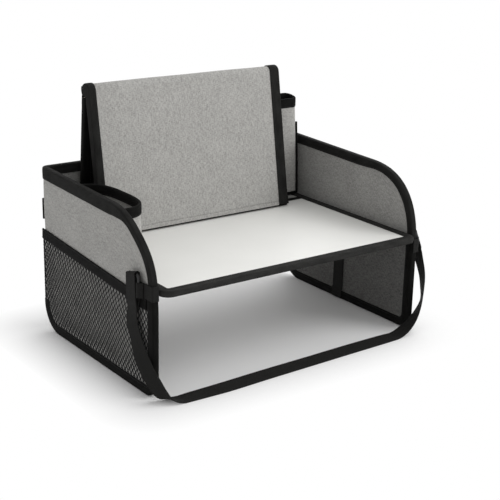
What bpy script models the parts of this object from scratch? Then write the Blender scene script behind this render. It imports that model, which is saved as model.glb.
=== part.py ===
"""Car seat tray table: a padded tray with side wings, folding legs and a tablet stand.

The tray is 400 mm wide. X runs to the right, Y to the back and Z up, and the sizes below are
measured from the middle of the tray on the floor. Every panel is a stiff board between two cloths,
and its edges are held by folded tape. At the end the whole model is moved so that the middle of its
footprint is the origin.
"""

import math

import bmesh
import bpy
from mathutils import Vector

MM = 0.001

# Driving dimensions of the tray
TRAY_WIDTH = 400 * MM
TRAY_DEPTH = 269 * MM
TABLE_HEIGHT = 130 * MM
RIM_REAR_HEIGHT = 216.5 * MM
RIM_FRONT_HEIGHT = 212 * MM
WING_CURVE_DEPTH = 95 * MM
WING_CURVE_DROP = 110 * MM
REAR_CORNER_RADIUS = 9 * MM

# Layers that every panel is made of
CLOTH = 1.2 * MM
WING_BOARD = 3.0 * MM
SEAM_GAP = 0.3 * MM
TAPE = 0.9 * MM
TAPE_WIDTH = 11 * MM
TAPE_ROUNDING = 0.6 * MM
CUT_OVERRUN = 12 * MM
WELD_DISTANCE = 0.01 * MM

# Table top
TABLE_BOARD = 3.0 * MM
TABLE_CLOTH = 0.8 * MM
TABLE_OVERHANG = 10 * MM
TABLE_FRONT_RADIUS = 14 * MM
SHEET_REAR_Y = 81 * MM
CROSS_TAPE_WIDTH = 8 * MM

# Folding legs
HINGE_DROP = 3 * MM
FOLD_GAP = 0.8 * MM
LEG_FRONT_RADIUS = 18 * MM
LEG_REAR_RADIUS = 37 * MM
LEG_TAPE_RISE = 3 * MM
STAY_WIDTH = 20 * MM
STAY_CENTRE_Y = 9 * MM
STAY_THICKNESS = 1.4 * MM

# Mesh pockets on the legs
NET_THICKNESS = 1.0 * MM
NET_PITCH_Y = 18 * MM
NET_PITCH_Z = 16.5 * MM
NET_STRAND = 2.2 * MM
NET_BORDER = 2.0 * MM
HEM_WIDTH = 14 * MM
HEM_THICKNESS = 1.6 * MM
HEM_FRONT_HEIGHT = 118 * MM
HEM_REAR_HEIGHT = 136 * MM
POCKET_REAR_INSET = 2 * MM

# Cup pocket on the left wing
CUP_RIM_DROP = 6 * MM
CUP_DEPTH = 35 * MM
CUP_LENGTH = 118 * MM
CUP_CENTRE_Y = 3 * MM
CUP_WALL = 1.6 * MM
CUP_SQUARENESS = 3.2
POCKET_TAPE_WIDTH = 12 * MM
POCKET_BASE = 1.0 * MM

# Bottle pocket in the right rear corner
BOTTLE_RIM_RISE = 54.5 * MM
BOTTLE_WIDTH = 45 * MM
BOTTLE_DEPTH = 25 * MM
BOTTLE_RADIUS = 11 * MM
BOTTLE_WALL = 1.4 * MM

# Tablet stand
STAND_LEFT_CLEARANCE = 4.5 * MM
STAND_RIGHT_CLEARANCE = 5.5 * MM
STAND_HEIGHT = 190.5 * MM
STAND_LEAN = math.radians(9.4)
RIDGE_RADIUS = 8 * MM
RIDGE_CENTRE_Y = 101.5 * MM
RIDGE_WRAP = math.radians(60)
REAR_HINGE_LIFT = 1.0 * MM
REAR_LEAF_BOARD = 3.0 * MM
RIDGE_CLEARANCE = 0.6 * MM
STAND_TAPE_WIDTH = 12 * MM
FOOT_GAP = 0.3 * MM

# Waist strap, its tabs and loops
STRAP_WIDTH = 20 * MM
STRAP_THICKNESS = 1.3 * MM
LOOP_BAR_RADIUS = 1.5 * MM
LOOP_WIDTH = 34 * MM
LOOP_HEIGHT = 24 * MM
LOOP_CORNER = 3 * MM
LOOP_TOP_HEIGHT = 143 * MM
RIGHT_LOOP_LOWER = 8 * MM
LOOP_STANDOFF = 6.0 * MM
LOOP_EASE = 0.5 * MM
STRAP_SHIFT = 3.2 * MM
LEFT_LOOP_Y = -97 * MM
RIGHT_LOOP_Y = -112.5 * MM
STRAP_REACH = 30 * MM
FOLD_LENGTH = 42 * MM
TAB_WIDTH = 15 * MM
TAB_THICKNESS = 1.2 * MM
PULL_TAB_HEIGHT = 27 * MM
PULL_TAB_LENGTH = 15 * MM
PULL_TAB_INSET = 1 * MM
PULL_TAB_DROP = 56.5 * MM

# Route of the waist strap, chosen by hand. Hanging parts give the sideways place as a share of the
# loops' place, the reach in front of the wings as a share of STRAP_REACH, the height as a share of
# the loops' height, and the direction of the strap's width. The part on the floor gives the same
# first two shares and the lift of its rear edge in degrees.
LEFT_DROP_SHARES = (
    (-1.010, -1.12, 0.595, (-0.12, 1, 0)), (-1.010, -0.82, 0.475, (-0.16, 1, -0.03)),
    (-1.012, -0.50, 0.360, (-0.32, 0.95, -0.18)), (-1.006, -0.03, 0.258, (-0.38, 0.84, -0.44)),
    (-0.990, 0.34, 0.184, (-0.36, 0.74, -0.60)), (-0.962, 0.49, 0.112, (-0.34, 0.80, -0.54)),
    (-0.930, 0.56, 0.058, (-0.22, 0.90, -0.36)), (-0.892, 0.60, 0.024, (-0.06, 0.99, -0.10)),
)
FLOOR_SHARES = (
    (-0.84, 0.59, 2), (-0.70, 0.63, 6), (-0.55, 0.66, 9), (-0.25, 0.58, 9), (0.05, 0.52, 8),
    (0.35, 0.46, 8), (0.60, 0.40, 7), (0.75, 0.34, 5), (0.84, 0.28, 3),
)
RIGHT_DROP_SHARES = (
    (0.893, 0.30, 0.028, (0.06, 1, 0.03)), (0.945, 0.36, 0.095, (0.38, 0.92, 0)),
    (1.000, 0.24, 0.175, (0.66, 0.74, -0.13)), (1.020, 0.21, 0.280, (0.66, 0.75, -0.16)),
    (1.026, 0.16, 0.400, (0.52, 0.85, -0.08)), (1.034, 0.03, 0.520, (0.36, 0.93, 0)),
    (1.040, -0.22, 0.630, (0.20, 0.98, 0)),
)

# Where the folded strap end is drawn, as shares of FOLD_LENGTH below the loop
FOLD_SHARES = (1.0, 0.86, 0.69)
# Power of the depth below the loop by which the folded end leans forward
FOLD_BEND = 1.6

# Counts that set how finely curves are drawn
ARC_STEPS = 6
WING_CURVE_STEPS = 14
LEG_CURVE_STEPS = 3
POCKET_STEPS = 28
LOOP_STEPS = 3
STRAP_STEPS = 4

# Sizes that follow from the ones above
HALF_WIDTH = TRAY_WIDTH / 2
FRONT_Y = -TRAY_DEPTH / 2
BACK_Y = TRAY_DEPTH / 2
TAPE_REACH = SEAM_GAP + TAPE
PANEL = 2 * CLOTH + WING_BOARD + 2 * SEAM_GAP
WING_INNER_X = HALF_WIDTH - PANEL
WING_MIDDLE_X = HALF_WIDTH - PANEL / 2
BACK_INNER_Y = BACK_Y - PANEL
TABLE_PANEL = TABLE_BOARD + 2 * TABLE_CLOTH + 2 * SEAM_GAP
TABLE_BOTTOM = TABLE_HEIGHT - TABLE_PANEL - TAPE_REACH
HINGE_HEIGHT = TABLE_BOTTOM - HINGE_DROP
WING_BOTTOM = HINGE_HEIGHT + FOLD_GAP / 2
LEG_TOP = HINGE_HEIGHT - FOLD_GAP / 2
DECK_TOP = TABLE_HEIGHT + TAPE_REACH
LOOP_X = HALF_WIDTH + LOOP_STANDOFF
CURVE_CENTRE_Y = FRONT_Y + WING_CURVE_DEPTH
CURVE_CENTRE_Z = RIM_FRONT_HEIGHT - WING_CURVE_DROP
CUP_RIM_HEIGHT = RIM_FRONT_HEIGHT - CUP_RIM_DROP
RIGHT_LOOP_TOP_HEIGHT = LOOP_TOP_HEIGHT - RIGHT_LOOP_LOWER
BOTTLE_RIM_HEIGHT = RIM_REAR_HEIGHT + BOTTLE_RIM_RISE
PULL_TAB_CENTRE_Z = RIM_REAR_HEIGHT - PULL_TAB_DROP
POCKET_X = WING_INNER_X - TAPE_REACH - SEAM_GAP
STAND_LEFT = CUP_DEPTH + STAND_LEFT_CLEARANCE - POCKET_X
STAND_RIGHT = POCKET_X - BOTTLE_WIDTH - STAND_RIGHT_CLEARANCE
STAND_WIDTH = STAND_RIGHT - STAND_LEFT
STAND_CENTRE_X = (STAND_LEFT + STAND_RIGHT) / 2
RIDGE_HEIGHT = TABLE_HEIGHT + STAND_HEIGHT - RIDGE_RADIUS
LEAF_LENGTH = (RIDGE_HEIGHT - TABLE_HEIGHT - FOOT_GAP) / math.cos(STAND_LEAN)
REAR_LEAF_NEAR = SEAM_GAP + TAPE_REACH
REAR_LEAF_FAR = REAR_LEAF_NEAR + REAR_LEAF_BOARD + 2 * CLOTH + 2 * SEAM_GAP
REAR_HINGE_Y = BACK_INNER_Y - TAPE_REACH - SEAM_GAP - REAR_LEAF_FAR - TAPE_REACH
REAR_HINGE_Z = DECK_TOP + REAR_HINGE_LIFT
REAR_LEAN = math.atan2(REAR_HINGE_Y - RIDGE_CENTRE_Y, RIDGE_HEIGHT - REAR_HINGE_Z)
REAR_LEAF_LENGTH = math.hypot(REAR_HINGE_Y - RIDGE_CENTRE_Y, RIDGE_HEIGHT - REAR_HINGE_Z)

GREY = (0.40, 0.395, 0.375)
DARK_GREY = (0.30, 0.30, 0.29)
WHITE = (0.78, 0.78, 0.76)
BLACK = (0.018, 0.018, 0.019)
BOARD_COLOUR = (0.55, 0.50, 0.42)


def start_collections():
    """Clear the scene and make one collection for the pieces and one for the cutters."""
    for item in list(bpy.data.objects):
        bpy.data.objects.remove(item, do_unlink=True)
    made = []
    for name in ("car_seat_tray_table", "cutters"):
        collection = bpy.data.collections.new(name)
        bpy.context.scene.collection.children.link(collection)
        made.append(collection)
    return made


PIECES, CUTTERS = start_collections()


def finish(name, colour, roughness, metallic=0.0):
    """Make a plain material with the piece's colour, roughness and metallic value."""
    material = bpy.data.materials.new(name)
    material.use_nodes = True
    shader = material.node_tree.nodes["Principled BSDF"]
    shader.inputs["Base Color"].default_value = (*colour, 1.0)
    shader.inputs["Roughness"].default_value = roughness
    shader.inputs["Metallic"].default_value = metallic
    material.diffuse_color = (*colour, 1.0)
    return material


def pivot(name, place, tilt, parent):
    """Add an empty at a joint axis, tilted about X, that carries the pieces of a moving body."""
    empty = bpy.data.objects.new(name, None)
    empty.location = place
    empty.rotation_euler = (tilt, 0, 0)
    empty.parent = parent
    PIECES.objects.link(empty)
    return empty


def from_pivot(parent):
    """Vector from an empty back to the tray's frame, for pieces drawn in that frame."""
    return -parent.location if parent.parent else Vector((0, 0, 0))


def arc(centre, radius, start, end, steps=ARC_STEPS):
    """List points on a circular arc between two angles in degrees."""
    points = []
    for step in range(steps + 1):
        angle = math.radians(start + (end - start) * step / steps)
        points.append((centre[0] + radius * math.cos(angle), centre[1] + radius * math.sin(angle)))
    return points


def box_outline(u_low, u_high, v_low, v_high):
    """Give the four corners of a rectangle."""
    return [(u_low, v_low), (u_high, v_low), (u_high, v_high), (u_low, v_high)]


def outward_mesh(name, edit):
    """Store an edited shape as a mesh whose faces all point outwards."""
    bmesh.ops.recalc_face_normals(edit, faces=edit.faces)
    if edit.calc_volume(signed=True) < 0:
        bmesh.ops.reverse_faces(edit, faces=edit.faces)
    mesh = bpy.data.meshes.new(name)
    edit.to_mesh(mesh)
    edit.free()
    return mesh


def mesh_from_curve(name, curve):
    """Turn a curve into a welded mesh and drop the curve."""
    guide = bpy.data.objects.new(name + "_guide", curve)
    bpy.context.scene.collection.objects.link(guide)
    graph = bpy.context.evaluated_depsgraph_get()
    loose = bpy.data.meshes.new_from_object(guide.evaluated_get(graph))
    bpy.data.objects.remove(guide, do_unlink=True)
    bpy.data.curves.remove(curve)
    edit = bmesh.new()
    edit.from_mesh(loose)
    bpy.data.meshes.remove(loose)
    bmesh.ops.remove_doubles(edit, verts=edit.verts, dist=WELD_DISTANCE)
    return outward_mesh(name, edit)


def add_piece(name, mesh, material, parent, place=(0, 0, 0), turn=(0, 0, 0)):
    """Put a mesh in the model as one named piece."""
    piece = bpy.data.objects.new(name, mesh)
    mesh.materials.clear()
    mesh.materials.append(material)
    piece.location = place
    piece.rotation_euler = turn
    piece.parent = parent
    PIECES.objects.link(piece)
    return piece


def outline_mesh(name, outlines, thickness):
    """Make a flat solid from closed outlines: the first is outside, the others are holes."""
    curve = bpy.data.curves.new(name, "CURVE")
    curve.dimensions = "2D"
    curve.fill_mode = "BOTH"
    curve.extrude = thickness / 2
    for outline in outlines:
        spline = curve.splines.new("POLY")
        spline.points.add(len(outline) - 1)
        for point, (across, along) in zip(spline.points, outline):
            point.co = (across, along, 0, 1)
        spline.use_cyclic_u = True
    return mesh_from_curve(name, curve)


FACING_SIDE = (math.pi / 2, 0, math.pi / 2)
FACING_FRONT = (math.pi / 2, 0, 0)
LYING = (0, 0, 0)


def side_panel(name, outlines, x_low, x_high, material, parent):
    """Stand a flat solid, drawn in Y and Z, between two X places."""
    mesh = outline_mesh(name, outlines, x_high - x_low)
    place = from_pivot(parent) + Vector(((x_low + x_high) / 2, 0, 0))
    return add_piece(name, mesh, material, parent, place, FACING_SIDE)


def lying_panel(name, outlines, z_low, z_high, material, parent):
    """Lay a flat solid, drawn in X and Y, between two heights."""
    mesh = outline_mesh(name, outlines, z_high - z_low)
    return add_piece(name, mesh, material, parent, (0, 0, (z_low + z_high) / 2), LYING)


def sweep(name, stations, section, closed=False):
    """Loft one section along stations, each a point with its outward and sideways directions."""
    edit = bmesh.new()
    rings = []
    for point, outward, sideways in stations:
        ring = [edit.verts.new(point + outward * out + sideways * side) for out, side in section]
        rings.append(ring)
    followers = rings[1:] + (rings[:1] if closed else [])
    for ring, follower in zip(rings, followers):
        for index in range(len(section)):
            after = (index + 1) % len(section)
            edit.faces.new((ring[index], ring[after], follower[after], follower[index]))
    if not closed:
        edit.faces.new(reversed(rings[0]))
        edit.faces.new(rings[-1])
    return outward_mesh(name, edit)


def tape_section(panel_thickness, width=TAPE_WIDTH):
    """Section of folded edge tape: a channel open towards the panel, its fold rounded."""
    inner = panel_thickness / 2 + SEAM_GAP
    outer = inner + TAPE
    fold = TAPE_REACH - TAPE_ROUNDING
    return [
        (-width, -outer), (fold, -outer), (TAPE_REACH, -outer + TAPE_ROUNDING),
        (TAPE_REACH, outer - TAPE_ROUNDING), (fold, outer), (-width, outer),
        (-width, inner), (SEAM_GAP, inner), (SEAM_GAP, -inner), (-width, -inner),
    ]


def strip_section(width, thickness):
    """Section of flat webbing, its width first and its thickness second."""
    return [
        (-width / 2, -thickness / 2), (width / 2, -thickness / 2),
        (width / 2, thickness / 2), (-width / 2, thickness / 2),
    ]


def cut(piece, mesh, operation, place=(0, 0, 0), turn=(0, 0, 0)):
    """Cut a piece with a hidden cutter that shares its parent."""
    cutter = bpy.data.objects.new(f"{piece.name}_{operation.lower()}_cutter", mesh)
    cutter.location = place
    cutter.rotation_euler = turn
    cutter.parent = piece.parent
    cutter.display_type = "WIRE"
    cutter.hide_render = True
    CUTTERS.objects.link(cutter)
    modifier = piece.modifiers.new(operation.title(), "BOOLEAN")
    modifier.operation = operation
    modifier.solver = "EXACT"
    modifier.object = cutter
    return cutter


def wing_front_curve(inset, low, steps=WING_CURVE_STEPS):
    """Points (Y, Z) up the curved front of a wing, from a given height to the top line."""
    across = WING_CURVE_DEPTH - inset
    upward = WING_CURVE_DROP - inset
    start = math.asin(max(0.0, min(1.0, (low - CURVE_CENTRE_Z) / upward)))
    points = []
    for step in range(steps + 1):
        angle = start + (math.pi / 2 - start) * step / steps
        points.append((CURVE_CENTRE_Y - across * math.cos(angle),
                       CURVE_CENTRE_Z + upward * math.sin(angle)))
    return points


def wing_outline(inset, low, rear):
    """Outline (Y, Z) of a wing: curved front, gently sloping top and a straight rear edge."""
    top = RIM_REAR_HEIGHT - inset
    corner_y = min(rear, BACK_Y - REAR_CORNER_RADIUS)
    points = wing_front_curve(inset, low)
    share = (corner_y - CURVE_CENTRE_Y) / (BACK_Y - REAR_CORNER_RADIUS - CURVE_CENTRE_Y)
    points.append((corner_y, RIM_FRONT_HEIGHT - inset + (RIM_REAR_HEIGHT - RIM_FRONT_HEIGHT) * share))
    if rear > corner_y:
        points.append((rear, top))
    points.append((rear, low))
    return points


def leg_outline(inset, top, rear_inset):
    """Outline (Y, Z) of a leg: front edge, rounded lower corners and a straight rear edge."""
    front = FRONT_Y + inset
    rear = BACK_Y - rear_inset
    front_radius = LEG_FRONT_RADIUS - inset
    rear_radius = LEG_REAR_RADIUS - inset
    upward = WING_CURVE_DROP - inset
    start = math.asin((top - CURVE_CENTRE_Z) / upward)
    points = []
    for step in range(LEG_CURVE_STEPS + 1):
        angle = start * (1 - step / LEG_CURVE_STEPS)
        across = (WING_CURVE_DEPTH - inset) * math.cos(angle)
        points.append((CURVE_CENTRE_Y - across, CURVE_CENTRE_Z + upward * math.sin(angle)))
    points += arc((front + front_radius, inset + front_radius), front_radius, 180, 270)
    points += arc((rear - rear_radius, inset + rear_radius), rear_radius, 270, 360, ARC_STEPS + 2)
    points.append((rear, top))
    return points


def wall_strip(outset, thickness):
    """Plan outline (X, Y) of one cloth layer round the left wing, back wall and right wing."""
    front = FRONT_Y - CUT_OVERRUN
    points = []
    for depth, direction in ((outset, 1), (outset + thickness, -1)):
        radius = REAR_CORNER_RADIUS - depth
        side = HALF_WIDTH - depth
        back = BACK_Y - depth
        corner_x = side - radius
        corner_y = back - radius
        path = [(side, front)]
        path += arc((corner_x, corner_y), radius, 0, 90)
        path += arc((-corner_x, corner_y), radius, 90, 180)
        path.append((-side, front))
        points += path[::direction]
    return points


def upper_cloth(name, outset, material, parent):
    """One cloth layer of the upper walls, trimmed to the side outline of the wings."""
    low = WING_BOTTOM - CUT_OVERRUN
    high = RIM_REAR_HEIGHT + CUT_OVERRUN
    cloth = lying_panel(name, [wall_strip(outset, CLOTH)], low, high, material, parent)
    trim = wing_outline(TAPE_REACH, WING_BOTTOM, BACK_Y + CUT_OVERRUN)
    cutter = outline_mesh(name + "_trim", [trim], TRAY_WIDTH + CUT_OVERRUN)
    cut(cloth, cutter, "INTERSECT", turn=FACING_SIDE)
    return cloth


def rim_stations():
    """Stations of the rim tape from the left front edge round the walls to the right."""
    edge = wing_front_curve(TAPE_REACH, WING_BOTTOM + SEAM_GAP)
    corner_y = BACK_Y - REAR_CORNER_RADIUS
    edge.append((corner_y, RIM_REAR_HEIGHT - TAPE_REACH))
    across = Vector((1, 0, 0))
    left = []
    for index, (along, height) in enumerate(edge):
        before = Vector(edge[max(index - 1, 0)])
        after = Vector(edge[min(index + 1, len(edge) - 1)])
        direction = (after - before).normalized()
        outward = Vector((0, -direction.y, direction.x))
        if index == 0:
            outward = Vector((0, -1, 0))
        if index == len(edge) - 1:
            outward = Vector((0, 0, 1))
        left.append((Vector((-WING_MIDDLE_X, along, height)), outward, across))
    radius = REAR_CORNER_RADIUS - PANEL / 2
    for spot in arc((-WING_MIDDLE_X + radius, corner_y), radius, 180, 90)[1:]:
        middle = Vector((-WING_MIDDLE_X + radius, corner_y))
        sideways = (middle - Vector(spot)).normalized()
        place = Vector((*spot, RIM_REAR_HEIGHT - TAPE_REACH))
        left.append((place, Vector((0, 0, 1)), Vector((*sideways, 0))))
    right = []
    for place, outward, sideways in reversed(left):
        right.append((Vector((-place.x, place.y, place.z)), outward,
                      Vector((-sideways.x, sideways.y, 0))))
    return left + right


def build_walls(tray, grey, dark, black, board):
    """Wings and back wall: boards between two cloths, with one length of tape on the rim."""
    upper_cloth("upper_outer_cloth", 0, grey, tray)
    upper_cloth("upper_inner_cloth", PANEL - CLOTH, dark, tray)
    board_inset = CLOTH + SEAM_GAP
    low = WING_BOTTOM + board_inset
    rear = BACK_Y - REAR_CORNER_RADIUS
    outline = wing_outline(TAPE_REACH + SEAM_GAP, low, rear)
    inner = WING_INNER_X + board_inset
    side_panel("left_wing_board", [outline], -inner - WING_BOARD, -inner, board, tray)
    side_panel("right_wing_board", [outline], inner, inner + WING_BOARD, board, tray)
    half = HALF_WIDTH - REAR_CORNER_RADIUS
    top = RIM_REAR_HEIGHT - TAPE_REACH - SEAM_GAP
    back = outline_mesh("back_board", [box_outline(-half, half, low, top)], WING_BOARD)
    add_piece("back_board", back, board, tray, (0, BACK_Y - PANEL / 2, 0), FACING_FRONT)
    rim = sweep("rim_tape", rim_stations(), tape_section(PANEL))
    add_piece("rim_tape", rim, black, tray)


def table_edge(inset):
    """Plan path (X, Y) along the left side, the front and the right side of the table."""
    side = WING_INNER_X - TAPE_REACH - SEAM_GAP - inset
    front = FRONT_Y - TABLE_OVERHANG + inset
    rear = BACK_INNER_Y - TAPE_REACH - SEAM_GAP
    radius = TABLE_FRONT_RADIUS - inset
    points = [(-side, rear)]
    points += arc((-side + radius, front + radius), radius, 180, 270)
    points += arc((side - radius, front + radius), radius, 270, 360)
    points.append((side, rear))
    return points


def build_table(tray, grey, dark, black, white, board):
    """Table top: board, white sheet, deck cloth, under cloth and the tapes on its edges."""
    edge = table_edge(TAPE_REACH)
    top = TABLE_HEIGHT
    sheet_low = top - TABLE_CLOTH
    board_high = sheet_low - SEAM_GAP
    board_low = board_high - TABLE_BOARD
    under_high = board_low - SEAM_GAP
    inner = table_edge(TAPE_REACH + SEAM_GAP)
    lying_panel("table_board", [inner], board_low, board_high, board, tray)
    lying_panel("table_under_cloth", [edge], under_high - TABLE_CLOTH, under_high, dark, tray)
    front_part = [(side, min(along, SHEET_REAR_Y)) for side, along in edge]
    lying_panel("writing_sheet", [front_part], sheet_low, top, white, tray)
    side = edge[-1][0]
    deck_front = SHEET_REAR_Y + SEAM_GAP
    deck = box_outline(-side, side, deck_front, edge[-1][1])
    lying_panel("deck_cloth", [deck], sheet_low, top, grey, tray)
    half = side - TAPE_WIDTH - SEAM_GAP
    cross = box_outline(-half, half, SHEET_REAR_Y, SHEET_REAR_Y + CROSS_TAPE_WIDTH)
    lying_panel("cross_tape", [cross], top + SEAM_GAP, top + TAPE_REACH, black, tray)
    stations = []
    middle = top - TABLE_PANEL / 2
    for index, (across, along) in enumerate(edge):
        before = Vector(edge[max(index - 1, 0)])
        after = Vector(edge[min(index + 1, len(edge) - 1)])
        direction = (after - before).normalized()
        outward = Vector((direction.y, -direction.x, 0))
        stations.append((Vector((across, along, middle)), outward, Vector((0, 0, 1))))
    tape = sweep("table_edge_tape", stations, tape_section(TABLE_PANEL))
    add_piece("table_edge_tape", tape, black, tray)


def cup_plan(inset):
    """Plan curve (X, Y) of the cup pocket, a squarish half oval that bulges from the wing."""
    depth = CUP_DEPTH - inset
    half = CUP_LENGTH / 2 - inset
    start = -POCKET_X
    power = 2 / CUP_SQUARENESS
    points = []
    for step in range(POCKET_STEPS + 1):
        angle = -math.pi / 2 + math.pi * step / POCKET_STEPS
        out = depth * math.cos(angle) ** power if abs(math.cos(angle)) > 1e-9 else 0
        turn = math.sin(angle)
        along = half * math.copysign(abs(turn) ** power, turn)
        points.append((start + out, CUP_CENTRE_Y + along))
    return points


def path_stations(path, height, closed=False):
    """Stations along a plan path at one height, with the section standing upright."""
    stations = []
    count = len(path)
    for index, spot in enumerate(path):
        before = path[(index - 1) % count] if closed else path[max(index - 1, 0)]
        after = path[(index + 1) % count] if closed else path[min(index + 1, count - 1)]
        direction = (Vector(after) - Vector(before)).normalized()
        sideways = Vector((direction.y, -direction.x, 0))
        stations.append((Vector((*spot, height)), Vector((0, 0, 1)), sideways))
    return stations


def wall_section(low, high, thickness):
    """Section of an upright pocket wall between two heights."""
    return [
        (low, -thickness / 2), (high, -thickness / 2), (high, thickness / 2), (low, thickness / 2),
    ]


def build_cup_pocket(tray, grey, black):
    """Cup pocket on the left wing: bulging wall, rim tape and base."""
    floor = DECK_TOP + SEAM_GAP
    top = CUP_RIM_HEIGHT - TAPE_REACH
    path = cup_plan(TAPE_REACH + CUP_WALL / 2)
    wall = sweep("cup_pocket_wall", path_stations(path, 0), wall_section(floor, top, CUP_WALL))
    add_piece("cup_pocket_wall", wall, grey, tray)
    section = tape_section(CUP_WALL, POCKET_TAPE_WIDTH)
    rim = sweep("cup_pocket_rim", path_stations(path, top), section)
    add_piece("cup_pocket_rim", rim, black, tray)
    base = cup_plan(TAPE_REACH + CUP_WALL + SEAM_GAP)
    lying_panel("cup_pocket_base", [base], floor, floor + POCKET_BASE, grey, tray)


def bottle_plan(inset):
    """Plan outline (X, Y) of the bottle pocket, a rounded rectangle in the rear corner."""
    right = POCKET_X - inset
    back = BACK_INNER_Y - TAPE_REACH - SEAM_GAP - inset
    left = right - BOTTLE_WIDTH + 2 * inset
    front = back - BOTTLE_DEPTH + 2 * inset
    radius = BOTTLE_RADIUS - inset
    points = []
    points += arc((right - radius, front + radius), radius, 270, 360)
    points += arc((right - radius, back - radius), radius, 0, 90)
    points += arc((left + radius, back - radius), radius, 90, 180)
    points += arc((left + radius, front + radius), radius, 180, 270)
    return points


def build_bottle_pocket(tray, grey, black):
    """Tall bottle pocket in the right rear corner: tube, rim tape and base."""
    floor = DECK_TOP + SEAM_GAP
    top = BOTTLE_RIM_HEIGHT - TAPE_REACH
    outer = bottle_plan(TAPE_REACH)
    inner = bottle_plan(TAPE_REACH + BOTTLE_WALL)
    lying_panel("bottle_pocket_wall", [outer, inner], floor, top, grey, tray)
    path = bottle_plan(TAPE_REACH + BOTTLE_WALL / 2)
    section = tape_section(BOTTLE_WALL, POCKET_TAPE_WIDTH)
    rim = sweep("bottle_pocket_rim", path_stations(path, top, closed=True), section, closed=True)
    add_piece("bottle_pocket_rim", rim, black, tray)
    base = bottle_plan(TAPE_REACH + BOTTLE_WALL + SEAM_GAP)
    lying_panel("bottle_pocket_base", [base], floor, floor + POCKET_BASE, grey, tray)


def inside(outline, spot):
    """Tell whether a point lies inside a closed outline, by counting crossings."""
    found = False
    for start, end in zip(outline, outline[1:] + outline[:1]):
        if (start[1] > spot[1]) != (end[1] > spot[1]):
            share = (spot[1] - start[1]) / (end[1] - start[1])
            if spot[0] < start[0] + share * (end[0] - start[0]):
                found = not found
    return found


def hem_top(along):
    """Height of the pocket's top edge, which rises from the front to the rear."""
    share = (along - FRONT_Y) / TRAY_DEPTH
    return HEM_FRONT_HEIGHT + (HEM_REAR_HEIGHT - HEM_FRONT_HEIGHT) * share


def net_region(margin):
    """Outline (Y, Z) of the net between the edge tape and the hem, drawn in by a margin."""
    edge = TAPE_REACH + TAPE_WIDTH + 2 * SEAM_GAP + margin
    rear = BACK_Y - POCKET_REAR_INSET - margin
    step_height = LEG_REAR_RADIUS + LEG_TAPE_RISE + SEAM_GAP + margin
    drop = HEM_WIDTH + SEAM_GAP + margin
    points = leg_outline(edge, LEG_TOP, edge)[LEG_CURVE_STEPS:-1]
    front = points[0][0]
    points[0] = (front, hem_top(front) - drop)
    points += [(points[-1][0], step_height), (rear, step_height), (rear, hem_top(rear) - drop)]
    return points


def net_outlines():
    """Outer outline of the net, then its diamond openings on a staggered lattice."""
    outer = net_region(0)
    field = net_region(NET_BORDER)
    half_y = NET_PITCH_Y / 2 - NET_STRAND * NET_PITCH_Y / (NET_PITCH_Y + NET_PITCH_Z)
    half_z = NET_PITCH_Z / 2 - NET_STRAND * NET_PITCH_Z / (NET_PITCH_Y + NET_PITCH_Z)
    columns = math.ceil(TRAY_DEPTH / NET_PITCH_Y) * 2
    rows = math.ceil(HEM_REAR_HEIGHT / NET_PITCH_Z) * 2
    holes = []
    for column in range(columns + 1):
        for row in range(rows + 1):
            if (column + row) % 2:
                continue
            along = FRONT_Y + column * NET_PITCH_Y / 2
            height = row * NET_PITCH_Z / 2
            diamond = [(along - half_y, height), (along, height - half_z),
                       (along + half_y, height), (along, height + half_z)]
            if all(inside(field, corner) for corner in diamond):
                holes.append(diamond)
    return [outer] + holes


def hem_outline():
    """Outline (Y, Z) of the hem band along the top of the net."""
    tape_edge = wing_front_curve(TAPE_REACH, LEG_TOP, 1)[0][0]
    front = tape_edge + TAPE_WIDTH + 2 * SEAM_GAP
    rear = BACK_Y - POCKET_REAR_INSET
    return [(front, hem_top(front) - HEM_WIDTH), (rear, hem_top(rear) - HEM_WIDTH),
            (rear, hem_top(rear)), (front, hem_top(front))]


def leg_tape_stations(middle_x):
    """Stations of a leg's edge tape: front edge, lower front corner, bottom, lower rear corner."""
    top = LEG_TOP - SEAM_GAP - TAPE_REACH
    path = leg_outline(TAPE_REACH, top, TAPE_REACH)[:-1]
    path.append((path[-1][0], LEG_REAR_RADIUS + LEG_TAPE_RISE))
    stations = []
    for index, (along, height) in enumerate(path):
        before = Vector(path[max(index - 1, 0)])
        after = Vector(path[min(index + 1, len(path) - 1)])
        direction = (after - before).normalized()
        outward = Vector((0, direction.y, -direction.x))
        stations.append((Vector((middle_x, along, height)), outward, Vector((1, 0, 0))))
    return stations


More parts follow.
